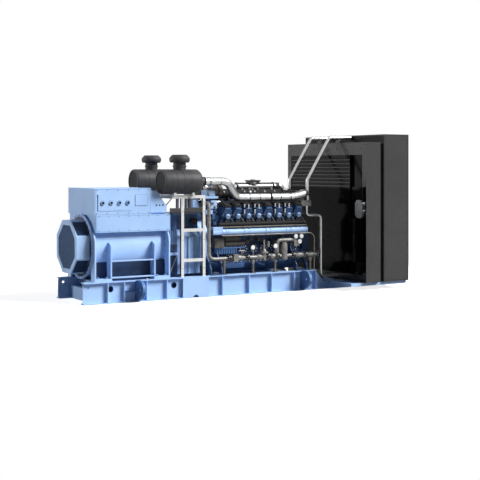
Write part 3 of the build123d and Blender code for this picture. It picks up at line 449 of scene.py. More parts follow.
class GENSET_OT_stage(bpy.types.Operator):
    """Adds the camera, the white world, the pale floor and the soft light"""

    bl_idname = "genset.stage"
    bl_label = "Stage"

    def execute(self, context):
        scene = context.scene
        scene.view_settings.view_transform = "Standard"
        sizes = scene.genset
        self.camera(scene)
        self.world(scene, sizes.fill)
        self.floor(sizes.floor_lift)
        sun_light("key_right", KEY_FROM, 26, sizes.key)
        sun_light("fill_left", FILL_FROM, 20, sizes.key * FILL_SHARE)
        area_light("front_soft", (-1.0, -15.0, 2.2), (0.0, 0.0, 1.4), (15.0, 5.0), 40.0)
        return {"FINISHED"}

    def camera(self, scene):
        """The level lens of the photograph."""
        lens = bpy.data.cameras.new("photograph_view")
        lens.lens = CAMERA_LENS
        lens.sensor_width = 36.0
        lens.shift_y = CAMERA_SHIFT
        camera = linked("photograph_view", lens)
        camera.location = CAMERA_PLACE
        camera.rotation_euler = [math.radians(turn) for turn in CAMERA_TURN]
        scene.camera = camera

    def world(self, scene, fill):
        """White where it is seen, mirrored or seen through glass, and at the level fill on the object."""
        scene.world = bpy.data.worlds.new("studio")
        tree = empty_tree(scene.world)
        path = add(tree, "ShaderNodeLightPath").outputs
        seen = maths(tree, "MAXIMUM", path["Is Camera Ray"], path["Is Transmission Ray"])
        seen = maths(tree, "MAXIMUM", seen, path["Is Glossy Ray"])
        dim = add(tree, "ShaderNodeBackground", {"Color": WHITE, "Strength": fill})
        shine = add(tree, "ShaderNodeBackground", {"Color": WHITE, "Strength": 1.0})
        mixed = add(tree, "ShaderNodeMixShader", {}, {0: seen, 1: dim.outputs[0], 2: shine.outputs[0]})
        add(tree, "ShaderNodeOutputWorld", {}, {"Surface": mixed.outputs[0]})

    def floor(self, raised):
        """Diffuse near the set for its shadow, raised towards white, fading to plain white further out."""
        corners = [(-60, -60, FLOOR_Z), (60, -60, FLOOR_Z), (60, 60, FLOOR_Z), (-60, 60, FLOOR_Z)]
        mesh = bpy.data.meshes.new("floor")
        mesh.from_pydata(corners, [], [[0, 1, 2, 3]])
        floor = linked("floor", mesh)
        material = bpy.data.materials.new("studio_floor")
        tree = empty_tree(material)
        place = add(tree, "ShaderNodeTexCoord").outputs["Object"]
        reach = add(tree, "ShaderNodeVectorMath", {"operation": "LENGTH"}, {0: place}).outputs["Value"]
        ring = {"interpolation_type": "SMOOTHSTEP", "From Min": 4.5, "From Max": 9.0}
        fade = add(tree, "ShaderNodeMapRange", ring, {"Value": reach}).outputs["Result"]
        path = add(tree, "ShaderNodeLightPath").outputs
        # Pale where it is seen or mirrored, and a mid grey for the light that it throws back
        seen = maths(tree, "MAXIMUM", path["Is Camera Ray"], path["Is Glossy Ray"])
        tint = colours(tree, seen, "8C8C8C", "F4F4F4")
        lit = add(tree, "ShaderNodeBsdfDiffuse", {}, {"Color": tint})
        lift = maths(tree, "MULTIPLY", path["Is Camera Ray"], raised)
        glow = add(tree, "ShaderNodeEmission", {"Color": WHITE}, {"Strength": lift})
        near = add(tree, "ShaderNodeAddShader", {}, {0: lit.outputs[0], 1: glow.outputs[0]})
        white = add(tree, "ShaderNodeEmission", {"Color": WHITE, "Strength": 1.0})
        far = maths(tree, "MULTIPLY", fade, path["Is Camera Ray"])
        whole = add(tree, "ShaderNodeMixShader", {}, {0: far, 1: near.outputs[0], 2: white.outputs[0]})
        add(tree, "ShaderNodeOutputMaterial", {}, {"Surface": whole.outputs[0]})
        mesh.materials.append(material)


class GENSET_OT_finishes(bpy.types.Operator):
    """Makes the finishes and gives them to the frame's nodes"""

    bl_idname = "genset.finishes"
    bl_label = "Finishes"

    def execute(self, context):
        for name, (_, *look) in FINISHES.items():
            finish(name, *look)
        finish_of = {start: label for label, starts in CAD_FINISH.items() for start in starts}
        for name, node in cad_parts.items():
            start = max((start for start in finish_of if name.startswith(start)), key=len)
            for slot in node.material_slots:
                slot.material = bpy.data.materials[finish_of[start]]
        return {"FINISHED"}


# Forms that several groups share


def disc(x0, x1, radius, y, z, soft=4.0):
    """A round plate across X with its two rims rounded off by soft."""
    profile = [(x0, radius - soft), (x0 + soft, radius), (x1 - soft, radius), (x1, radius - soft)]
    return lathe(profile, (0, y, z), ALONG)


def sleeve(middle, way, length, radius, lip=5.0, turns=28):
    """A short hose or coupling: a turned form with a raised lip at each end."""
    half = length / 2
    end = [(half, -lip), (half, lip), (half - 3 * lip, lip), (half - 3.5 * lip, 0)]
    profile = [(-along, radius + rise) for along, rise in end]
    profile += [(along, radius + rise) for along, rise in end[::-1]]
    return lathe(profile, middle, way, turns)


def seam(x0, x1, z0, z1, y, wide=6.0, proud=2.0):
    """The four thin strips round a panel that lies across Y, standing proud of it towards the near side."""
    out = (y - proud, y + proud)
    level = [[x0, x1, *out, z, z + wide] for z in (z0, z1 - wide)]
    return blocks(level + [[x, x + wide, *out, z0, z1] for x in (x0, x1 - wide)])


def bank(side):
    """The crank's place, and a bank's directions: out across its heads and up along its cylinders."""
    out = np.array([0, side * math.cos(TILT), -math.sin(TILT)])
    up = np.array([0, side * math.sin(TILT), math.cos(TILT)])
    return np.array([0, 0, CRANK_Z]), out, up


class GENSET_OT_alternator(bpy.types.Operator):
    """Turns the alternator's barrel and adds its foot frames, bolts and air inlet"""

    bl_idname = "genset.alternator"
    bl_label = "Alternator"

    def execute(self, context):
        rim, barrel, neck, drive = 600, 540, 500, 545
        profile = [(185, rim - 6), (189, rim), (216, rim), (220, rim - 6), (222, barrel + 12), (234, barrel)]
        profile += [(1575, barrel), (1592, barrel - 5), (1628, neck + 4), (1642, neck), (1690, neck)]
        profile += [(1695, neck + 6), (1695, drive - 6), (1700, drive), (1726, drive), (1730, drive - 6)]
        body = lathe(profile, (0, 0, SHAFT_Z), ALONG, 96)
        put("alternator_barrel", "blue_enamel", body, stands_for=["alternator_body"])
        flange = bolts(circle_of((185, 0, SHAFT_Z), ALONG, rim - 26, 32), BACK, 22, 12)
        drive_ring = bolts(circle_of((1695, 0, SHAFT_Z), ALONG, drive - 24, 28), BACK, 22, 12)
        feet = []
        for side in SIDES.values():
            for x0, x1 in FOOT_SPANS:
                feet.extend(row_of((x0 + 70, side * 600, SOLE_Z), (x1 - 70, side * 600, SOLE_Z), 2))
        put("alternator_bolts", "blue_shadow", flange, drive_ring, bolts(feet, UP, 44, 28))
        self.inlet()
        for name, side in SIDES.items():
            self.frame(name, side)
        return {"FINISHED"}

    def frame(self, name, side):
        """The welded foot frame of one side: ribs, soles and ledges, with dark navy panels between them as
        painted shade.
        """
        (x0, x1), (x2, x3) = FOOT_SPANS
        half, outer = 15, 650
        parts = []
        for x, top, shoulder in ((x0, 1290, 1150), (x1, 1100, 1050), (x2, 1100, 1050), (x3, 1290, 1150)):
            outline = [(480, SOLE_Z), (outer, SOLE_Z), (outer, shoulder), (560, top)]
            outline += [(390, top), (390, 750), (480, 750)]
            parts.append(prism([(side * y, z) for y, z in outline], 0, x - half, x + half))
        spans = [[x1, x2, 600, outer, 750, 774], [x1, x2, 575, outer, SOLE_Z, SOLE_Z + 24]]
        spans += [[low - half, high + half, 480, outer, SKID_TOP, SOLE_Z] for low, high in FOOT_SPANS]
        parts.append(blocks(spans, side))
        put("foot_frame_" + name, "blue_enamel", *parts, bevel=3, stands_for=["alternator_frame_" + name])
        # Dark navy panels set back between the ribs: painted shade in the frame's hollows
        gaps = ((x1, x2), (x0 + half, x1 - half), (x2 + half, x3 - half))
        shade_panels = [[low, high, 455, 468, SKID_TOP + 2, 744] for low, high in gaps]
        put("frame_shade_panel_" + name, "shaded_enamel", blocks(shade_panels, side))

    def inlet(self):
        """Crossing wires in front of a sunk back plate, each cut to the width of the octagon at its place;
        the back plate, a ring on the flange and plates on the slanted faces are dark as painted shade.
        """
        # A dark navy ring on the flange's face round the inlet: painted shade
        ring = [(181.5, 300), (181.5, 545), (183, 549), (184.5, 552)]
        put("inlet_flange_shade", "shaded_enamel", lathe(ring, (0, 0, SHAFT_Z), ALONG, 72))
        half, edge, wire, pitch = 396.0, 485.0, 2.5, 21.0
        covers = []
        # Dark navy plates on the octagon's four slanted faces: painted shade
        for across, rise in ((-1, 1), (1, 1), (-1, -1), (1, -1)):
            way = np.array([across, rise]) * math.sqrt(0.5)
            along = np.array([way[1], -way[0]])
            rim = ((-3, -165), (-3, 165), (1.5, 165), (1.5, -165))
            corners = [way * (edge + lift) + along * wide for lift, wide in rim]
            covers.append(prism(np.array(corners) + (0, SHAFT_Z), 0, -48, 178))
        put("inlet_slant_shades", "shaded_enamel", *covers)
        at = np.arange(-half + 14, half, pitch)
        reach = np.minimum(half, half / math.cos(math.pi / 4) - np.abs(at))
        x0, x1 = -66.0, -60.0
        spans = [[x0, x1, -w, w, SHAFT_Z + v - wire, SHAFT_Z + v + wire] for v, w in zip(at, reach)]
        spans += [[x0 - 3, x0, v - wire, v + wire, SHAFT_Z - w, SHAFT_Z + w] for v, w in zip(at, reach)]
        put("inlet_wires", "zinc_mesh", blocks(spans))
        flat = half * math.tan(math.pi / 8)
        ends = np.array([(-flat, -half), (flat, -half), (half, -flat), (half, flat)])
        octagon = np.concatenate([ends, -ends]) + (0, SHAFT_Z)
        # The sunk back plate is navy: painted shade of the hollow behind the wires
        plate = prism(octagon, 0, -48.0, -46.0)
        put("inlet_back_shade", "steel_mesh", plate, stands_for=["alternator_inlet_grille"])


class GENSET_OT_filters(bpy.types.Operator):
    """Turns the two air filters with their rain caps"""

    bl_idname = "genset.filters"
    bl_label = "Air filters"

    def execute(self, context):
        outer = 234
        body = [(1610, 120), (1610, 186), (1556, 190), (1550, 196), (1550, outer - 22), (1556, outer - 8)]
        body += [(1570, outer - 2), (1580, outer)]
        for x in (1790, 1940, 2110):
            body += [(x, outer), (x + 3, outer - 4), (x + 9, outer - 4), (x + 12, outer)]
        body += [(2288, outer), (2310, outer - 8), (2345, outer - 34), (2372, 160), (2384, 120)]
        body += [(2400, 96), (2450, 90)]
        neck = [(FILTER_Z + 150, 120), (2470, 120), (2474, 132), (2496, 132), (2500, 120), (2570, 120)]
        cap = [(2556, 120), (2556, 168), (2562, 178), (2590, 192), (2606, 194), (2640, 194), (2650, 188)]
        cap += [(2690, 152), (2700, 140), (2704, 128), (2704, 30)]
        knob = [(2700, 22), (2704, 22)]
        cup = [(1560, 150), (1560, 186), (1608, 186), (1608, 150)]
        for name, side in SIDES.items():
            y = side * FILTER_Y
            axis, foot = (0, y, FILTER_Z), (CAP_X, y, 0)
            shell = [lathe(body, axis, ALONG, 72), lathe(neck, foot, UP), lathe(cap, foot, UP, 56)]
            shell.append(lathe(knob, foot, UP, 12))
            put("filter_" + name, "moulded_nylon", *shell, stands_for=["air_filter_" + name])
            put("filter_cup_" + name, "rubber_hose", lathe(cup, axis, ALONG, 40))
            bands = [disc(x, x + 26, outer + 1.5, y, FILTER_Z, 2) for x in (1712, 2107)]
            put("filter_bands_" + name, "moulded_nylon", *bands)
        return {"FINISHED"}


class GENSET_OT_pipes(bpy.types.Operator):
    """Bends the polished charge, exhaust, coolant and return pipes with their flanges, bands and hoses"""

    bl_idname = "genset.pipes"
    bl_label = "Pipes"

    def execute(self, context):
        for name, side in SIDES.items():
            self.charge(name, side)
        self.exhaust()
        self.coolant()
        return {"FINISHED"}

    def charge(self, name, side):
        """One charge pipe from its filter down along the heads and in to the mixer."""
        y0, y1, low, end = side * FILTER_Y, side * 450, 1877, 1942
        corners = [(2452, y0, FILTER_Z), (2980, y0, FILTER_Z), (3284, y1, low), (4600, y1, low)]
        corners += [(4960, y1, end), (4960, side * 250, end)]
        line = route(corners, [260, 260, 260, 120], 16)

        def ring(x, length, radius, lip):
            """A sleeve on the pipe's run beside the filter or, further along, on its low run."""
            return sleeve((x, y0, FILTER_Z) if x < 2980 else (x, y1, low), ALONG, length, radius, lip, 36)

        tubes = [tube(line, 75, 36), ring(2532, 88, 79, 4)]
        put("charge_tube_" + name, "stainless_tube", *tubes, stands_for=["charge_pipe_" + name])
        bands = [ring(x, 28, 76.5, 1.5) for x in (3560, 3796, 4283, 4525)] + [ring(2815, 16, 76.5, 1.5)]
        put("charge_bands_" + name, "sand_cast_aluminium", *bands)
        hoses = [ring(2466, 34, 84, 4), ring(2590, 18, 78, 2), ring(4059, 44, 80, 3)]
        put("charge_hoses_" + name, "rubber_hose", *hoses)

    def exhaust(self):
        """The collector over the valley between two black half-shells that paint shade on its top and bottom,
        with bellows, elbow and outlet box.
        """
        z, low, start, end = 2090, 1560, 3470, 4625
        line = route([(start, 0, low), (start, 0, z), (end, 0, z), (end, 0, low)], [100, 100], 12)
        elbow = tube(route([(end - 80, 0, z), (end, 0, z), (end, 0, 1900)], [78], 10), 62, 32)
        put("exhaust_tube", "stainless_tube", tube(line, 57, 36), elbow, stands_for=["exhaust_collector"])
        shade_shells = []
        # Black half-shells above and below the polished tube: painted shade on its top and bottom edges
        for middle in (90, 270):
            angle = np.radians(np.linspace(middle - 56, middle + 56, 19))
            arc = np.stack([np.cos(angle), np.sin(angle)], axis=1)
            shade_shells.append(prism(np.concatenate([arc * 70, arc[::-1] * 58]) + (0, z), 0, 3560, 4390))
        rings = [disc(x - 15, x + 15, 79, 0, z, 4) for x in (3547, 4404)]
        foot = tube([(start, 0, low + 2), (start, 0, 1760), (start, 0, 1965)], 62, 32)
        plate_z, face_z = 2184, 2210
        box = blocks([[x, x + 80, -80, 80, z + 40, plate_z] for x in (3820, 3970)])
        top = prism([(3805, -95), (4065, -95), (4065, 95), (3805, 95)], 2, plate_z, face_z)
        put("exhaust_shade_shells", "black_steel", *shade_shells, *rings, foot, box, top, bevel=3)
        wave = [(x, 59 + 9 * (k % 2)) for k, x in enumerate(np.linspace(4452, 4545, 13))]
        neck = lathe([(3900, 0.1), (3900, 78), (3970, 78), (3970, 0.1)], (0, 0, z + 60), ALONG, 32)
        put("exhaust_bellows", "sand_cast_aluminium", lathe(wave, (0, 0, z), ALONG, 36), neck)
        mouth = lathe([(2200, 70), (2200, 84), (2209, 84), (2209, 70)], (3935, 0, 0), UP, 36)
        around = [(x, y, face_z - 12) for x in (3822, 4048) for y in (-75, 0, 75)]
        put("exhaust_fixings", "zinc_black", mouth, bolts(around, UP, 20, 11))
        self.valley()

    def valley(self):
        """Small castings that stand on the dark exhaust manifolds: brackets, a sensor and a valve."""
        y, z, places = 165, 1950, (3560, 3732, 3800, 3925, 4250)
        for name, side in SIDES.items():
            spans = [[x - 17, x + 17, y + 20, y + 48, z + 60, z + 112] for x in places]
            valve = [(-66, 30), (-60, 42), (52, 42), (66, 24)]
            wide = lathe(valve, (4560, side * (y + 60), z + 60), ALONG, 30)
            put("valley_brackets_" + name, "sand_cast_aluminium", blocks(spans, side), wide, bevel=3)
            between = CYLINDER_FIRST + CYLINDER_PITCH * (np.arange(7) + 0.5)
            bands = [disc(x - 14, x + 14, 88, side * y, z, 3) for x in between]
            put("manifold_bands_" + name, "black_steel", *bands)
            profile = [(0, 14), (40, 14), (46, 22), (66, 22), (72, 12)]
            sensor = lathe(profile, (3700, side * (y + 70), z + 20), (0, side, 0.2), 20)
            put("valley_sensor_" + name, "dial_enamel", sensor)

    def coolant(self):
        """Two pipes up to the top of the radiator and the return pipe low down on the near side."""
        x, end, top = 5046, RADIATOR_BOX[0], RADIATOR_PIPE_Z
        corners = [[(x, y, 1795), (x, y, 2208), (5597, y, top), (end, y, top)] for y in RADIATOR_PIPE_Y]
        tubes = [tube(route(ends, [90, 90], 12), 38, 30) for ends in corners]
        tubes += [sleeve((x, y, z), UP, 30, 43, 3) for y in RADIATOR_PIPE_Y for z in (1850, 2080)]
        put("coolant_tubes", "stainless_tube", *tubes, stands_for=["coolant_pipes"])
        x, y, high, low = 5304, -440, 1490, 235
        corners = [(4950, y, 1680), (4950, y, high), (x, y, high), (x, y, low), (5720, y, low)]
        line = route(corners, [80, 80, 80], 10)
        clips = [sleeve((x, y, z), UP, 30, 34, 3) for z in (1290, 520)]
        put("return_tube", "stainless_tube", tube(line, 30, 26), *clips, stands_for=["return_pipe"])


class GENSET_OT_gas_train(bpy.types.Operator):
    """Builds the gas train: flanged pipe, valves, regulator, gauges and stands"""

    bl_idname = "genset.gas_train"
    bl_label = "Gas train"

    def execute(self, context):
        y, z = -620, 710
        turn, high = 2573, 1780
        line = route([(turn, -480, high), (turn, y, high), (turn, y, z), (2993, y, z)], [70, 110], 12)
        clips = [sleeve((turn, y, height), UP, 40, 40, 4) for height in (1500, 960, 880)]
        run = lathe([(2985, 38), (5083, 38)], (0, y, z), ALONG, 30)
        bodies, curve = [], np.linspace(-1, 1, 11)
        sizes = ((3218, 85, 62), (3700, 70, 58), (4010, 62, 56), (4640, 95, 60), (4930, 70, 56))
        for x, half, radius in sizes:
            bulge = [(x + half * t, radius * (0.72 + 0.28 * math.cos(t * math.pi / 2))) for t in curve]
            bodies.append(lathe(bulge, (0, y, z), ALONG, 30))
        box = blocks([[3090, 3200, y - 62, y + 62, z - 62, z + 74]])
        shapes = [tube(line, 35, 28), *clips, run, *bodies, box]
        put("gas_pipework", "sand_cast_aluminium", *shapes, bevel=5, stands_for=["gas_train"])
        joints = (3014, 3421, 3907, 4118, 4496, 4788, 5094)
        plates = [span for x in joints for span in ((x - 26, x - 4), (x + 4, x + 26))]
        # The end flange keeps a thin outer plate
        plates[-1] = (5098, 5109)
        put("gas_flanges", "black_steel", *[disc(x0, x1, 82, y, z, 3) for x0, x1 in plates])
        rings = [circle_of((x - 26, y, z), ALONG, 64, 8, math.pi / 8) for x in joints]
        put("gas_flange_bolts", "zinc_plated", *[bolts(ring, BACK, 16, 9) for ring in rings])
        self.fittings(y, z)
        self.gauges(y)
        self.legs(y, z)
        return {"FINISHED"}

    def fittings(self, y, z):
        """Regulator, meter, safety valve, T-handle and the bridge pipe, with the stems and valves below."""
        profile = [(-78, 40), (-70, 46), (60, 46), (66, 88), (82, 92), (100, 88), (106, 50), (150, 34)]
        regulator = lathe(profile + [(160, 22), (316, 22), (322, 14)], (3812, y, z), UP, 36)
        profile = [(-78, 60), (-72, 74), (230, 74), (236, 62), (262, 60), (270, 40)]
        canister = lathe(profile, (4278, y, z), UP, 36)
        bridge = tube(route([(4118, y, z + 60), (4118, y, 1022), (4540, y, 1022)], [70], 9), 39, 24)
        box = blocks([[4497, 4617, y - 50, y + 50, 898, 1010]])
        second = lathe([(180, 20), (190, 32), (288, 32), (296, 18)], (3935, y + 40, z), UP, 24)
        rod = lathe([(40, 13), (132, 13)], (3300, y, z), UP, 14)
        grip = lathe([(-74, 8), (-68, 13), (68, 13), (74, 8)], (3300, y, z + 135), ALONG, 14)
        stems = [lathe([(38, 14), (160, 14)], (x, y, z), UP, 12) for x in (3556, 4075)]
        stems += [lathe([(0, 11), (80, 11)], (x, y, foot), UP, 12) for x, foot in ((4560, 1000), (4700, 990))]
        profile = [(-130, 24), (-118, 34), (-70, 34), (-60, 22), (-30, 22)]
        valves = [lathe(profile, (x, y, z), UP, 20) for x in (3556, 4075, 4907)]
        shapes = [regulator, canister, bridge, box, second, rod, grip, *stems, *valves]
        put("gas_fittings", "sand_cast_aluminium", *shapes, bevel=4)

    def gauges(self, y):
        """Dials that face the near side, each in its round case."""
        heights = ((3521, 905), (4045, 916), (4530, 1091), (4663, 1091), (4620, 985))
        places = [(x, y - 30, z) for x, z in heights]
        case, face = [(0, 40), (4, 47), (34, 47), (38, 43), (38, 40)], [(36, 41), (39.5, 41)]
        put("gauge_cases", "zinc_plated", *[lathe(case, place, NEARWARD, 28) for place in places])
        put("gauge_faces", "dial_enamel", *[lathe(face, place, NEARWARD, 28) for place in places])

    def legs(self, y, z):
        """Posts on foot plates, three of them with a cradle under the pipe."""
        low, top = SKID_TOP + 1, SKID_TOP + 12
        legs = []
        for x, drop, cradle in ((3558, 60, True), (4068, 60, True), (4907, 60, True), (2907, 30, False)):
            legs.append([x - 20, x + 20, y - 20, y + 20, top, z - drop])
            legs.append([x - 45, x + 45, y - 45, y + 45, low, top])
            if cradle:
                legs.append([x - 48, x + 48, y - 30, y + 30, z - 72, z - 58])
        put("gas_stands", "oiled_casting", blocks(legs), bevel=2)


class GENSET_OT_engine(bpy.types.Operator):
    """Builds the heads with their caps, leads and coil covers, and fits out the rails and the crankcase"""

    bl_idname = "genset.engine"
    bl_label = "Engine"

    def execute(self, context):
        bays = CYLINDER_FIRST + CYLINDER_PITCH * np.arange(8)
        studs, leads = [], []
        for side in SIDES.values():
            crank, out, up = bank(side)
            for x in bays:
                places = [(x + dx, reach) for reach in (650, 790) for dx in (-92, 92)]
                face = [crank + (at, 0, 0) + up * reach + out * 190 for at, reach in places]
                studs.append(bolts(face, out, 18, 9))
            for x in bays[[2, 3, 5, 6]]:
                leads += self.lead(side, x)
        put("head_bolts", "dull_zinc", *studs)
        for name, side in SIDES.items():
            self.heads(name, side, bays)
        put("ignition_leads", "zinc_plated", *leads)
        self.rails(bays)
        self.crankcase(bays)
        return {"FINISHED"}

    def heads(self, name, side, bays):
        """Eight heads, each a foot, a cover with the outline of a shield, and a round cap."""
        crank, out, up = bank(side)
        left = [(-72, 690), (-104, 745), (-104, 800), (-88, 880), (-58, 926)]
        shield = left + [(-dx, reach) for dx, reach in left[::-1]]
        foot = [(-109, 620), (-109, 672), (-92, 695), (92, 695), (109, 672), (109, 620)]
        shells, caps = [], []
        for x in bays:
            for outline, inner, outer in ((shield, -180, 176), (foot, -190, 190)):
                flat = np.array([crank + (x + dx, 0, 0) + up * reach for dx, reach in outline])
                shells.append(skin(np.stack([flat + out * inner, flat + out * outer])))
            place = crank + (x + 22, 0, 0) + up * 762 + out * 170
            caps.append(lathe([(0, 50), (38, 50), (46, 44), (47, 0.1)], place, out, 26))
        # The heads take the deeper engine enamel: painted shade
        put("heads_" + name, "engine_enamel", *shells, bevel=10, stands_for=["cylinder_heads_" + name])
        put("head_caps_" + name, "blue_enamel", *caps)

    def lead(self, side, x):
        """The bright upright tubes of one ignition coil: a long one in two parts and a short one."""
        tubes = []
        for dx, low, high in ((-105, 1560, 1645), (-105, 1682, 1752), (-10, 1655, 1745)):
            profile = [(low, 10), (low + 5, 14), (high - 5, 14), (high, 10)]
            tubes.append(lathe(profile, (x + dx, side * 604, 0), UP, 18))
        return tubes

    def rails(self, bays):
        """Along the heads: rail couplings, coil covers, the fuel duct with its arms, and the oil line."""
        places = (2858, 2937, 2992, 3353, 3467, 3847, 3951, 4318, 4425, 4804)
        for name, side in SIDES.items():
            rings = [disc(x - 11, x + 11, 63, side * 620, 1220, 3) for x in places]
            block = blocks([[2640, 2850, 570, 672, 1186, 1322]], side)
            put("rail_couplings_" + name, "blue_enamel", *rings, block, bevel=5)
            put("ignition_rail_" + name, "rubber_hose", self.ignition_rail(side, bays), bevel=6)
            arms, crescents = [], []
            for x in bays:
                low, high = (x + 154, side * 600, 1347), (x + 84, side * 540, 1490)
                arms.append(tube([high, np.add(high, low) / 2, low], 11, 12))
                angle = np.linspace(0.15 * np.pi, 0.85 * np.pi, 9)
                arc = [x + 84 + 62 * np.cos(angle), 0 * angle + side * 548, 1490 + 52 * np.sin(angle)]
                crescents.append(tube(np.stack(arc, axis=1), 15, 12, (0.0, 1.0, 0.1)))
            put("fuel_arms_" + name, "oiled_casting", *arms)
            put("coil_crescents_" + name, "rubber_hose", *crescents)
            duct = tube([(x, side * 648, 1311) for x in (2760, 3700, 4800)], 15, 14)
            hangers = [[x - 10, x + 10, 560, 655, 1262, 1298] for x in places[3:]]
            put("fuel_duct_" + name, "oiled_casting", duct, blocks(hangers, side))
        y, z, end = -640, 1150, 5000
        line = route([(2858, y, z), (end, y, z), (end, y, SKID_TOP + 2)], [120], 10)
        clips = [sleeve((x, y, z), ALONG, 24, 15, 3, 14) for x in (3100, 3640, 4200, 4700)]
        put("oil_line", "sand_cast_aluminium", tube(line, 13, 16), *clips)

    def ignition_rail(self, side, bays):
        """A black coil cover on each head and the cable duct that joins them, square to the tilted bank."""
        crank, out, up = bank(side)

        def bar(x0, x1, a0, a1, b0, b1):
            """A block of the bank: x0 to x1 along it, a0 to a1 out across it, b0 to b1 up the cylinders."""
            square = [(crank + out * a + up * b)[1:] for a, b in ((a0, b0), (a1, b0), (a1, b1), (a0, b1))]
            return prism(square, 0, x0, x1)

        parts = [bar(x - 88, x + 88, -70, 132, 929, 952) for x in bays]
        parts += [bar(x - 60, x + 60, 20, 120, 950, 972) for x in bays]
        return merged(bar(2900, 4770, -20, 10, 950, 975), *parts)

    def crankcase(self, bays):
        """Bolts of the doors and the sump rim, oil cooler, starters, covers and side castings."""
        wall = 368
        rings = []
        for side in SIDES.values():
            for x in bays:
                ring = circle_of((x, side * 388, 860), (0, side, 0), 70, 8)
                rings.append(bolts(ring, (0, side, 0), 16, 8))
            rim = row_of((2700, side * 400, 620), (4780, side * 400, 620), 24)
            rings.append(bolts(rim, (0, side, 0), 16, 8))
        put("crankcase_bolts", "zinc_plated", *rings)
        box = blocks([[2765, 2970, -520, -wall, 908, 1091], [2790, 2945, -528, -515, 930, 1068]])
        put("oil_cooler", "oiled_casting", box, bevel=10)
        for name, side in SIDES.items():
            cylinders = []
            for z, x0, x1 in ((1078, 3020, 3380), (975, 3020, 3480)):
                profile = [(x0, 30), (x0 + 12, 50), (x1 - 90, 50), (x1 - 84, 42), (x1 - 12, 42), (x1, 26)]
                cylinders.append(lathe(profile, (0, side * 428, z), ALONG, 30))
            cylinders.append(blocks([[x, x + 60, wall, 430, 930, 1120] for x in (3060, 3290)], side))
            put("starters_" + name, "oiled_casting", *cylinders, bevel=4)
            covers = []
            for k, x in enumerate(np.linspace(3540, 4560, 12)):
                z, radius = 1000 + 70 * math.sin(2.3 * k), 34 + 12 * math.cos(1.7 * k)
                profile = [(0, radius * 0.7), (8, radius), (70, radius)]
                profile += [(78, radius * 0.6), (96, radius * 0.5), (100, 8)]
                covers.append(lathe(profile, (x, side * wall, z), (0, side, 0), 24))
            put("case_fittings_" + name, "oiled_casting", *covers)
            casting = [[2816, 3288, wall, 452, 790, 890], [2816, 3471, wall, 470, 885, 913]]
            casting += [[x, x + 16, 450, 468, 776, 890] for x in np.linspace(2830, 3258, 9)]
            casting.append([3020, 3480, 396, 424, 500, 584])
            # The side casting and the wedge below it take the half-shade enamel: painted shade
            put("side_casting_" + name, "mid_enamel", blocks(casting, side), bevel=4)
            wedge = prism([(3728, 593), (3962, 560), (3962, 500)], 1, side * 398, side * 418)
            put("pan_wedge_" + name, "mid_enamel", wedge, bevel=3)


class GENSET_OT_radiator(bpy.types.Operator):
    """Adds the radiator's seams, screws, louvres and lower sheet, its pipe saddles and stubs"""

    bl_idname = "genset.radiator"
    bl_label = "Radiator"

    def execute(self, context):
        x0, x1 = RADIATOR_BOX
        front, half, inset = 5720, 1400, 45
        near = -half
        levels = [[x0 + 20, x1 - 20, near - 1.5, near + 1.5, z, z + 5] for z in (1140, 2130)]
        edge = seam(x0 + 20, x1 - 20, 180, 3110, near, 6, 1.5)
        put("radiator_seams", "rubber_hose", edge, blocks(levels))
        screws, ends = [], (x0 + inset, x1 - inset)
        for side in SIDES.values():
            rows = [row_of((x, side * half, 260), (x, side * half, 3040), 14) for x in ends]
            screws.append(bolts(np.concatenate(rows), (0, side, 0), 16, 7))
        rows = [row_of((front, y, 2140), (front, y, 2930), 6) for y in (inset - half, half - inset)]
        rows += [row_of((front, -1250, z), (front, 1250, z), 10) for z in (2850, 225)]
        screws.append(bolts(np.concatenate(rows), BACK, 18, 8))
        put("radiator_screws", "zinc_black", *screws)
        blades = []
        for z in np.arange(2070, 2690, 77.0):
            outline = [(front + 1, z + 4), (front + 5, z + 2), (front + 23, z + 34), (front + 19, z + 36)]
            blades.append(prism(outline, 1, -860, 1280))
        put("screen_louvres", "black_steel", *blades)
        lower = blocks([[front - 3, front + 1, -878, 1288, 300, 2045]])
        put("screen_lower", "black_gloss_panel", lower)
        # A black strip before the rear box's face, above the front box: painted shade
        strip = blocks([[x0 - 7, x0 - 1, -1385, 1385, 2975, 3112]])
        put("header_painted_shade", "rubber_hose", strip)
        saddles = []
        for y in RADIATOR_PIPE_Y:
            ring = lathe([(0, 46), (26, 48), (30, 46)], (x0 - 45, y, RADIATOR_PIPE_Z), ALONG, 28)
            saddles.append(ring)
            saddles.append(blocks([[5800, 5840, y - 62, y + 62, 2973, 3034]]))
        put("radiator_pipe_saddles", "grey_powder_coat", *saddles, bevel=4)
        profile = [(0, 26), (60, 26), (62, 34), (80, 34)]
        stubs = [lathe(profile, (5752, -1286, z), NEARWARD, 20) for z in (1740, 1590)]
        put("junction_stubs", "zinc_plated", *stubs)
        return {"FINISHED"}


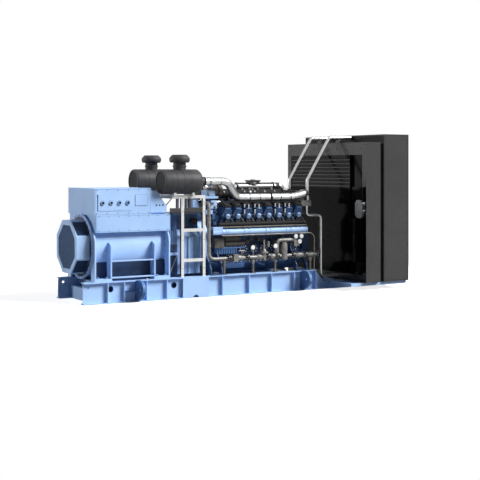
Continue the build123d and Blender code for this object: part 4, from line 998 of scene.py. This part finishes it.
class GENSET_OT_stand(bpy.types.Operator):
    """Adds the filter stand's tray, dark strips on its posts as painted shade, holes and strut, and the
    covers of the coupling
    """

    bl_idname = "genset.stand"
    bl_label = "Filter stand"

    def execute(self, context):
        trays = ((1750, 1963), (2023, 2423))
        tray = blocks([[x0, x1, -650, -588, 1608, 1703] for x0, x1 in trays])
        put("stand_tray", "grey_powder_coat", tray, bevel=3)
        shade_strips, holes = [], []
        for name, side in SIDES.items():
            for x in {"near": (1993, 2453), "far": (1790, 2120)}[name]:
                # A dark strip down the face of each post towards the alternator: painted shade
                shade_strips.append([x - 29.5, x - 27, side * 598, side * 642, SKID_TOP + 5, 1875])
                for z in (1808, 1764, 1632, 1100, 560):
                    holes.append(lathe([(0, 8), (1.5, 8)], (x, side * 648.2, z), (0, side, 0), 14))
        lining = [[x0, x1, -651, -640, 1600, 1622] for x0, x1 in trays]
        put("stand_shade_strips", "zinc_black", blocks(shade_strips + lining))
        put("stand_holes", "zinc_black", *holes)
        strut = tube([(1672, -588, 1757), (1731, -594, 1821), (1790, -600, 1890)], 9, 14)
        put("stand_strut", "zinc_black", strut)
        self.coupling()
        return {"FINISHED"}

    def coupling(self):
        """Hood and cover over the shaft in deeper enamels as painted shade, the drum and conduits before
        them, a dark block low down as painted shade, and the mesh with its frame.
        """
        # The hood takes the deeper engine enamel and the bell cover the dark navy: painted shade
        put("coupling_hood", "engine_enamel", blocks([[1742, 1958, -470, 470, 1276, 1600]]), bevel=14)
        put("bell_cover_shade", "shaded_enamel", blocks([[1950, 2440, -420, 420, 1300, 1590]]), bevel=14)
        drum = lathe([(-40, 60), (60, 62), (64, 30), (90, 30)], (2330, -440, 1440), NEARWARD, 28)
        put("coupling_drum", "rubber_hose", drum)
        # A dark navy block low between the alternator and the bell: painted shade of the hollow under the
        # coupling
        pit = blocks([[1734, 1972, -496, 496, SKID_TOP + 2, 806]])
        put("coupling_shade_block", "shaded_enamel", pit)
        conduits = [lathe([(1590, 30), (1905, 30)], (x, -300, 0), UP, 20) for x in (2060, 2150, 2260, 2350)]
        put("stand_conduits", "dull_zinc", *conduits)
        wire, pitch, front = 6, 24.0, (-503.5, -500)
        wires = [[1738, 1952, *front, z, z + wire] for z in np.arange(866, 1010, pitch)]
        wires += [[x, x + wire, *front, 862, 1012] for x in np.arange(1742, 1950, pitch)]
        put("coupling_mesh", "zinc_mesh", blocks(wires))
        # A dark plate behind the mesh, painted shade of the hollow behind the guard, and a thin dark strip
        # below the hood
        back = [[1734, 1956, -501.5, -499, z0, z1] for z0, z1 in ((862, 1012), (1262, 1273))]
        put("coupling_back_shade", "zinc_black", blocks(back))
        put("coupling_sill", "blue_enamel", blocks([[1732, 1958, -516, -498, 806, 860]]), bevel=3)
        brace = tube([(1940, -508, 800), (1870, -508, 640), (1790, -508, 470)], 12, 14)
        put("coupling_brace", "grey_primer", brace)


class GENSET_OT_gas_mixer(bpy.types.Operator):
    """Builds the gas mixer's towers with their nozzles, hoses and small pipes, and the turbochargers"""

    bl_idname = "genset.gas_mixer"
    bl_label = "Gas mixer"

    def execute(self, context):
        bridge = [[2560, 2740, -200, 200, 1410, 1665], [2600, 2740, -470, 470, 1560, 1650]]
        tower = [[2600, 2790, 260, 480, 1915, 2020], [2570, 2850, 240, 496, 1862, 1912]]
        tower.append([2690, 2832, 260, 480, 1668, 1826])
        core = [[2630, 2800, 280, 466, 1640, 1870], [2600, 2700, 300, 440, 1560, 1850]]
        towers = [blocks(bridge)] + [blocks(tower, side) for side in SIDES.values()]
        put("mixer_towers", "blue_enamel", *towers, bevel=9, stands_for=["gas_mixer"])
        # Dark navy cores set back between and beside the towers' tiers: painted shade
        put("mixer_shade_cores", "shaded_enamel", *[blocks(core, side) for side in SIDES.values()], bevel=4)
        for name, side in SIDES.items():
            self.piping(name, side)
            self.bank_end(name, side)
            hoses = []
            for k in range(3):
                corners = [(2850 + 40 * k, 380, 1850 + 30 * k), (2900 + 30 * k, 470, 1780)]
                corners += [(2930, 470, 1620), (3000, 500, 1560)]
                hoses.append(tube(route(on(side, corners), [40, 50], 6), 16, 12))
            put("mixer_hoses_" + name, "rubber_hose", *hoses)
        return {"FINISHED"}

    def piping(self, name, side):
        """Pipe stubs, a bent pipe, screwed plugs and the nozzle of one tower."""
        stub = [(0, 22), (30, 22), (34, 32), (46, 32)]
        bits = [lathe(stub, (x, side * 440, 2016), UP, 18) for x in (2640, 2720)]
        corners = on(side, [(2640, 400, 2020), (2640, 400, 2080), (2790, 400, 2080), (2790, 400, 1900)])
        bits.append(tube(route(corners, [30, 30], 6), 15, 14))
        plug = [(0, 30), (14, 30), (16, 22), (26, 22)]
        for x, z in ((2740, 1780), (2790, 1710), (2650, 1965)):
            bits.append(lathe(plug, (x, side * 480, z), (0, side, 0), 20))
        put("mixer_pipes_" + name, "dull_zinc", *bits)
        profile = [(0, 34), (70, 34), (76, 26), (110, 20), (114, 10)]
        nozzle = lathe(profile, (2826, side * 440, 1790), (1, 0, 0.1), 24)
        put("mixer_nozzle_" + name, "zinc_plated", nozzle)

    def bank_end(self, name, side):
        """The bolted plate at the end of one bank, and the turbocharger's compressor behind the tower."""
        outline = [(2740, 1650), (2850, 1640), (2905, 1520), (2890, 1360), (2800, 1350), (2760, 1500)]
        plate = prism(outline, 1, side * 400, side * 430)
        # The bank plate takes the half-shade enamel: painted shade
        put("bank_plate_" + name, "mid_enamel", plate, bevel=6)
        spots = on(side, [(2800, 430, 1600), (2862, 430, 1560), (2800, 430, 1440), (2870, 430, 1400)])
        put("bank_bolts_" + name, "zinc_black", bolts(spots, (0, side, 0), 30, 18))
        drum = [(2740, 60), (2750, 110), (2850, 126), (2860, 92), (2900, 92), (2910, 120)]
        drum += [(2990, 112), (3010, 60)]
        put("compressor_" + name, "oiled_casting", lathe(drum, (0, side * 330, 2005), ALONG, 36))


class GENSET_OT_terminal_box(bpy.types.Operator):
    """Adds the terminal box's seams, screws, gland rims and hood marks"""

    bl_idname = "genset.terminal_box"
    bl_label = "Terminal box"

    def execute(self, context):
        y = -630
        panels = ((262, 1728, 1300, 1588), (230, 1328, 1612, 2072), (1015, 1278, 1755, 1967))
        put("terminal_seams", "blue_shadow", *[seam(*panel, y, 5, 1.5) for panel in panels])
        screws = [(x, y, z) for x in np.linspace(300, 1690, 8) for z in (1318, 1570)]
        screws += [(x, y, z) for x in np.linspace(262, 1296, 6) for z in (1634, 2050)]
        put("terminal_screws", "blue_shadow", bolts(screws, NEARWARD, 14, 5))
        glands = [(x, y - 8, 1820) for x in 371 + 166 * np.arange(4)]
        rims = [lathe([(0, 46), (8, 46), (8, 36)], place, NEARWARD, 28) for place in glands]
        put("gland_rims", "blue_shadow", *rims)
        marks = [[x - 14, x + 14, -602, -598, 1748, 1776] for x in (1466, 1534, 1602)]
        hinge = [278, 284, y - 10, y + 2, 1680, 1975]
        put("terminal_marks", "zinc_black", blocks(marks + [hinge]))
        plugs = [lathe([(20, 26), (24, 24)], place, NEARWARD, 24) for place in glands]
        put("gland_plugs", "rubber_hose", *plugs)
        return {"FINISHED"}


class GensetSettings(bpy.types.PropertyGroup):
    """Light levels that a user would change"""

    key: bpy.props.FloatProperty(
        name="Key light", description="Strength of the lamp on the right", default=5.3, min=0.0
    )
    fill: bpy.props.FloatProperty(
        name="Fill", description="Level of the world on the object", default=0.05, min=0.0
    )
    floor_lift: bpy.props.FloatProperty(
        name="Floor level", description="How far the floor is lifted to white", default=0.80, min=0.0, max=1.0
    )


STEPS = [
    "stage", "finishes", "alternator", "terminal_box", "stand", "gas_mixer", "filters", "pipes", "gas_train",
    "engine", "radiator",
]
CLASSES = [
    GensetSettings, GENSET_OT_stage, GENSET_OT_finishes, GENSET_OT_alternator, GENSET_OT_terminal_box,
    GENSET_OT_stand, GENSET_OT_gas_mixer, GENSET_OT_filters, GENSET_OT_pipes, GENSET_OT_gas_train,
    GENSET_OT_engine, GENSET_OT_radiator,
]


class GENSET_PT_panel(bpy.types.Panel):
    """Shows the light settings and a button for each step"""

    bl_idname = "GENSET_PT_panel"
    bl_label = "Gas generator set"
    bl_space_type = "VIEW_3D"
    bl_region_type = "UI"
    bl_category = "Generator"

    def draw(self, context):
        settings = context.scene.genset
        for name in ("key", "fill", "floor_lift"):
            self.layout.prop(settings, name)
        for step in STEPS:
            self.layout.operator("genset." + step)


def register():
    """Registers the add-on's classes and its settings."""
    for item in CLASSES + [GENSET_PT_panel]:
        bpy.utils.register_class(item)
    bpy.types.Scene.genset = bpy.props.PointerProperty(type=GensetSettings)


def unregister():
    """Removes them again."""
    del bpy.types.Scene.genset
    for item in reversed(CLASSES + [GENSET_PT_panel]):
        bpy.utils.unregister_class(item)


def main():
    """Dresses the frame piece by piece."""
    register()
    for step in STEPS:
        getattr(bpy.ops.genset, step)()


if __name__ == "__main__":
    main()
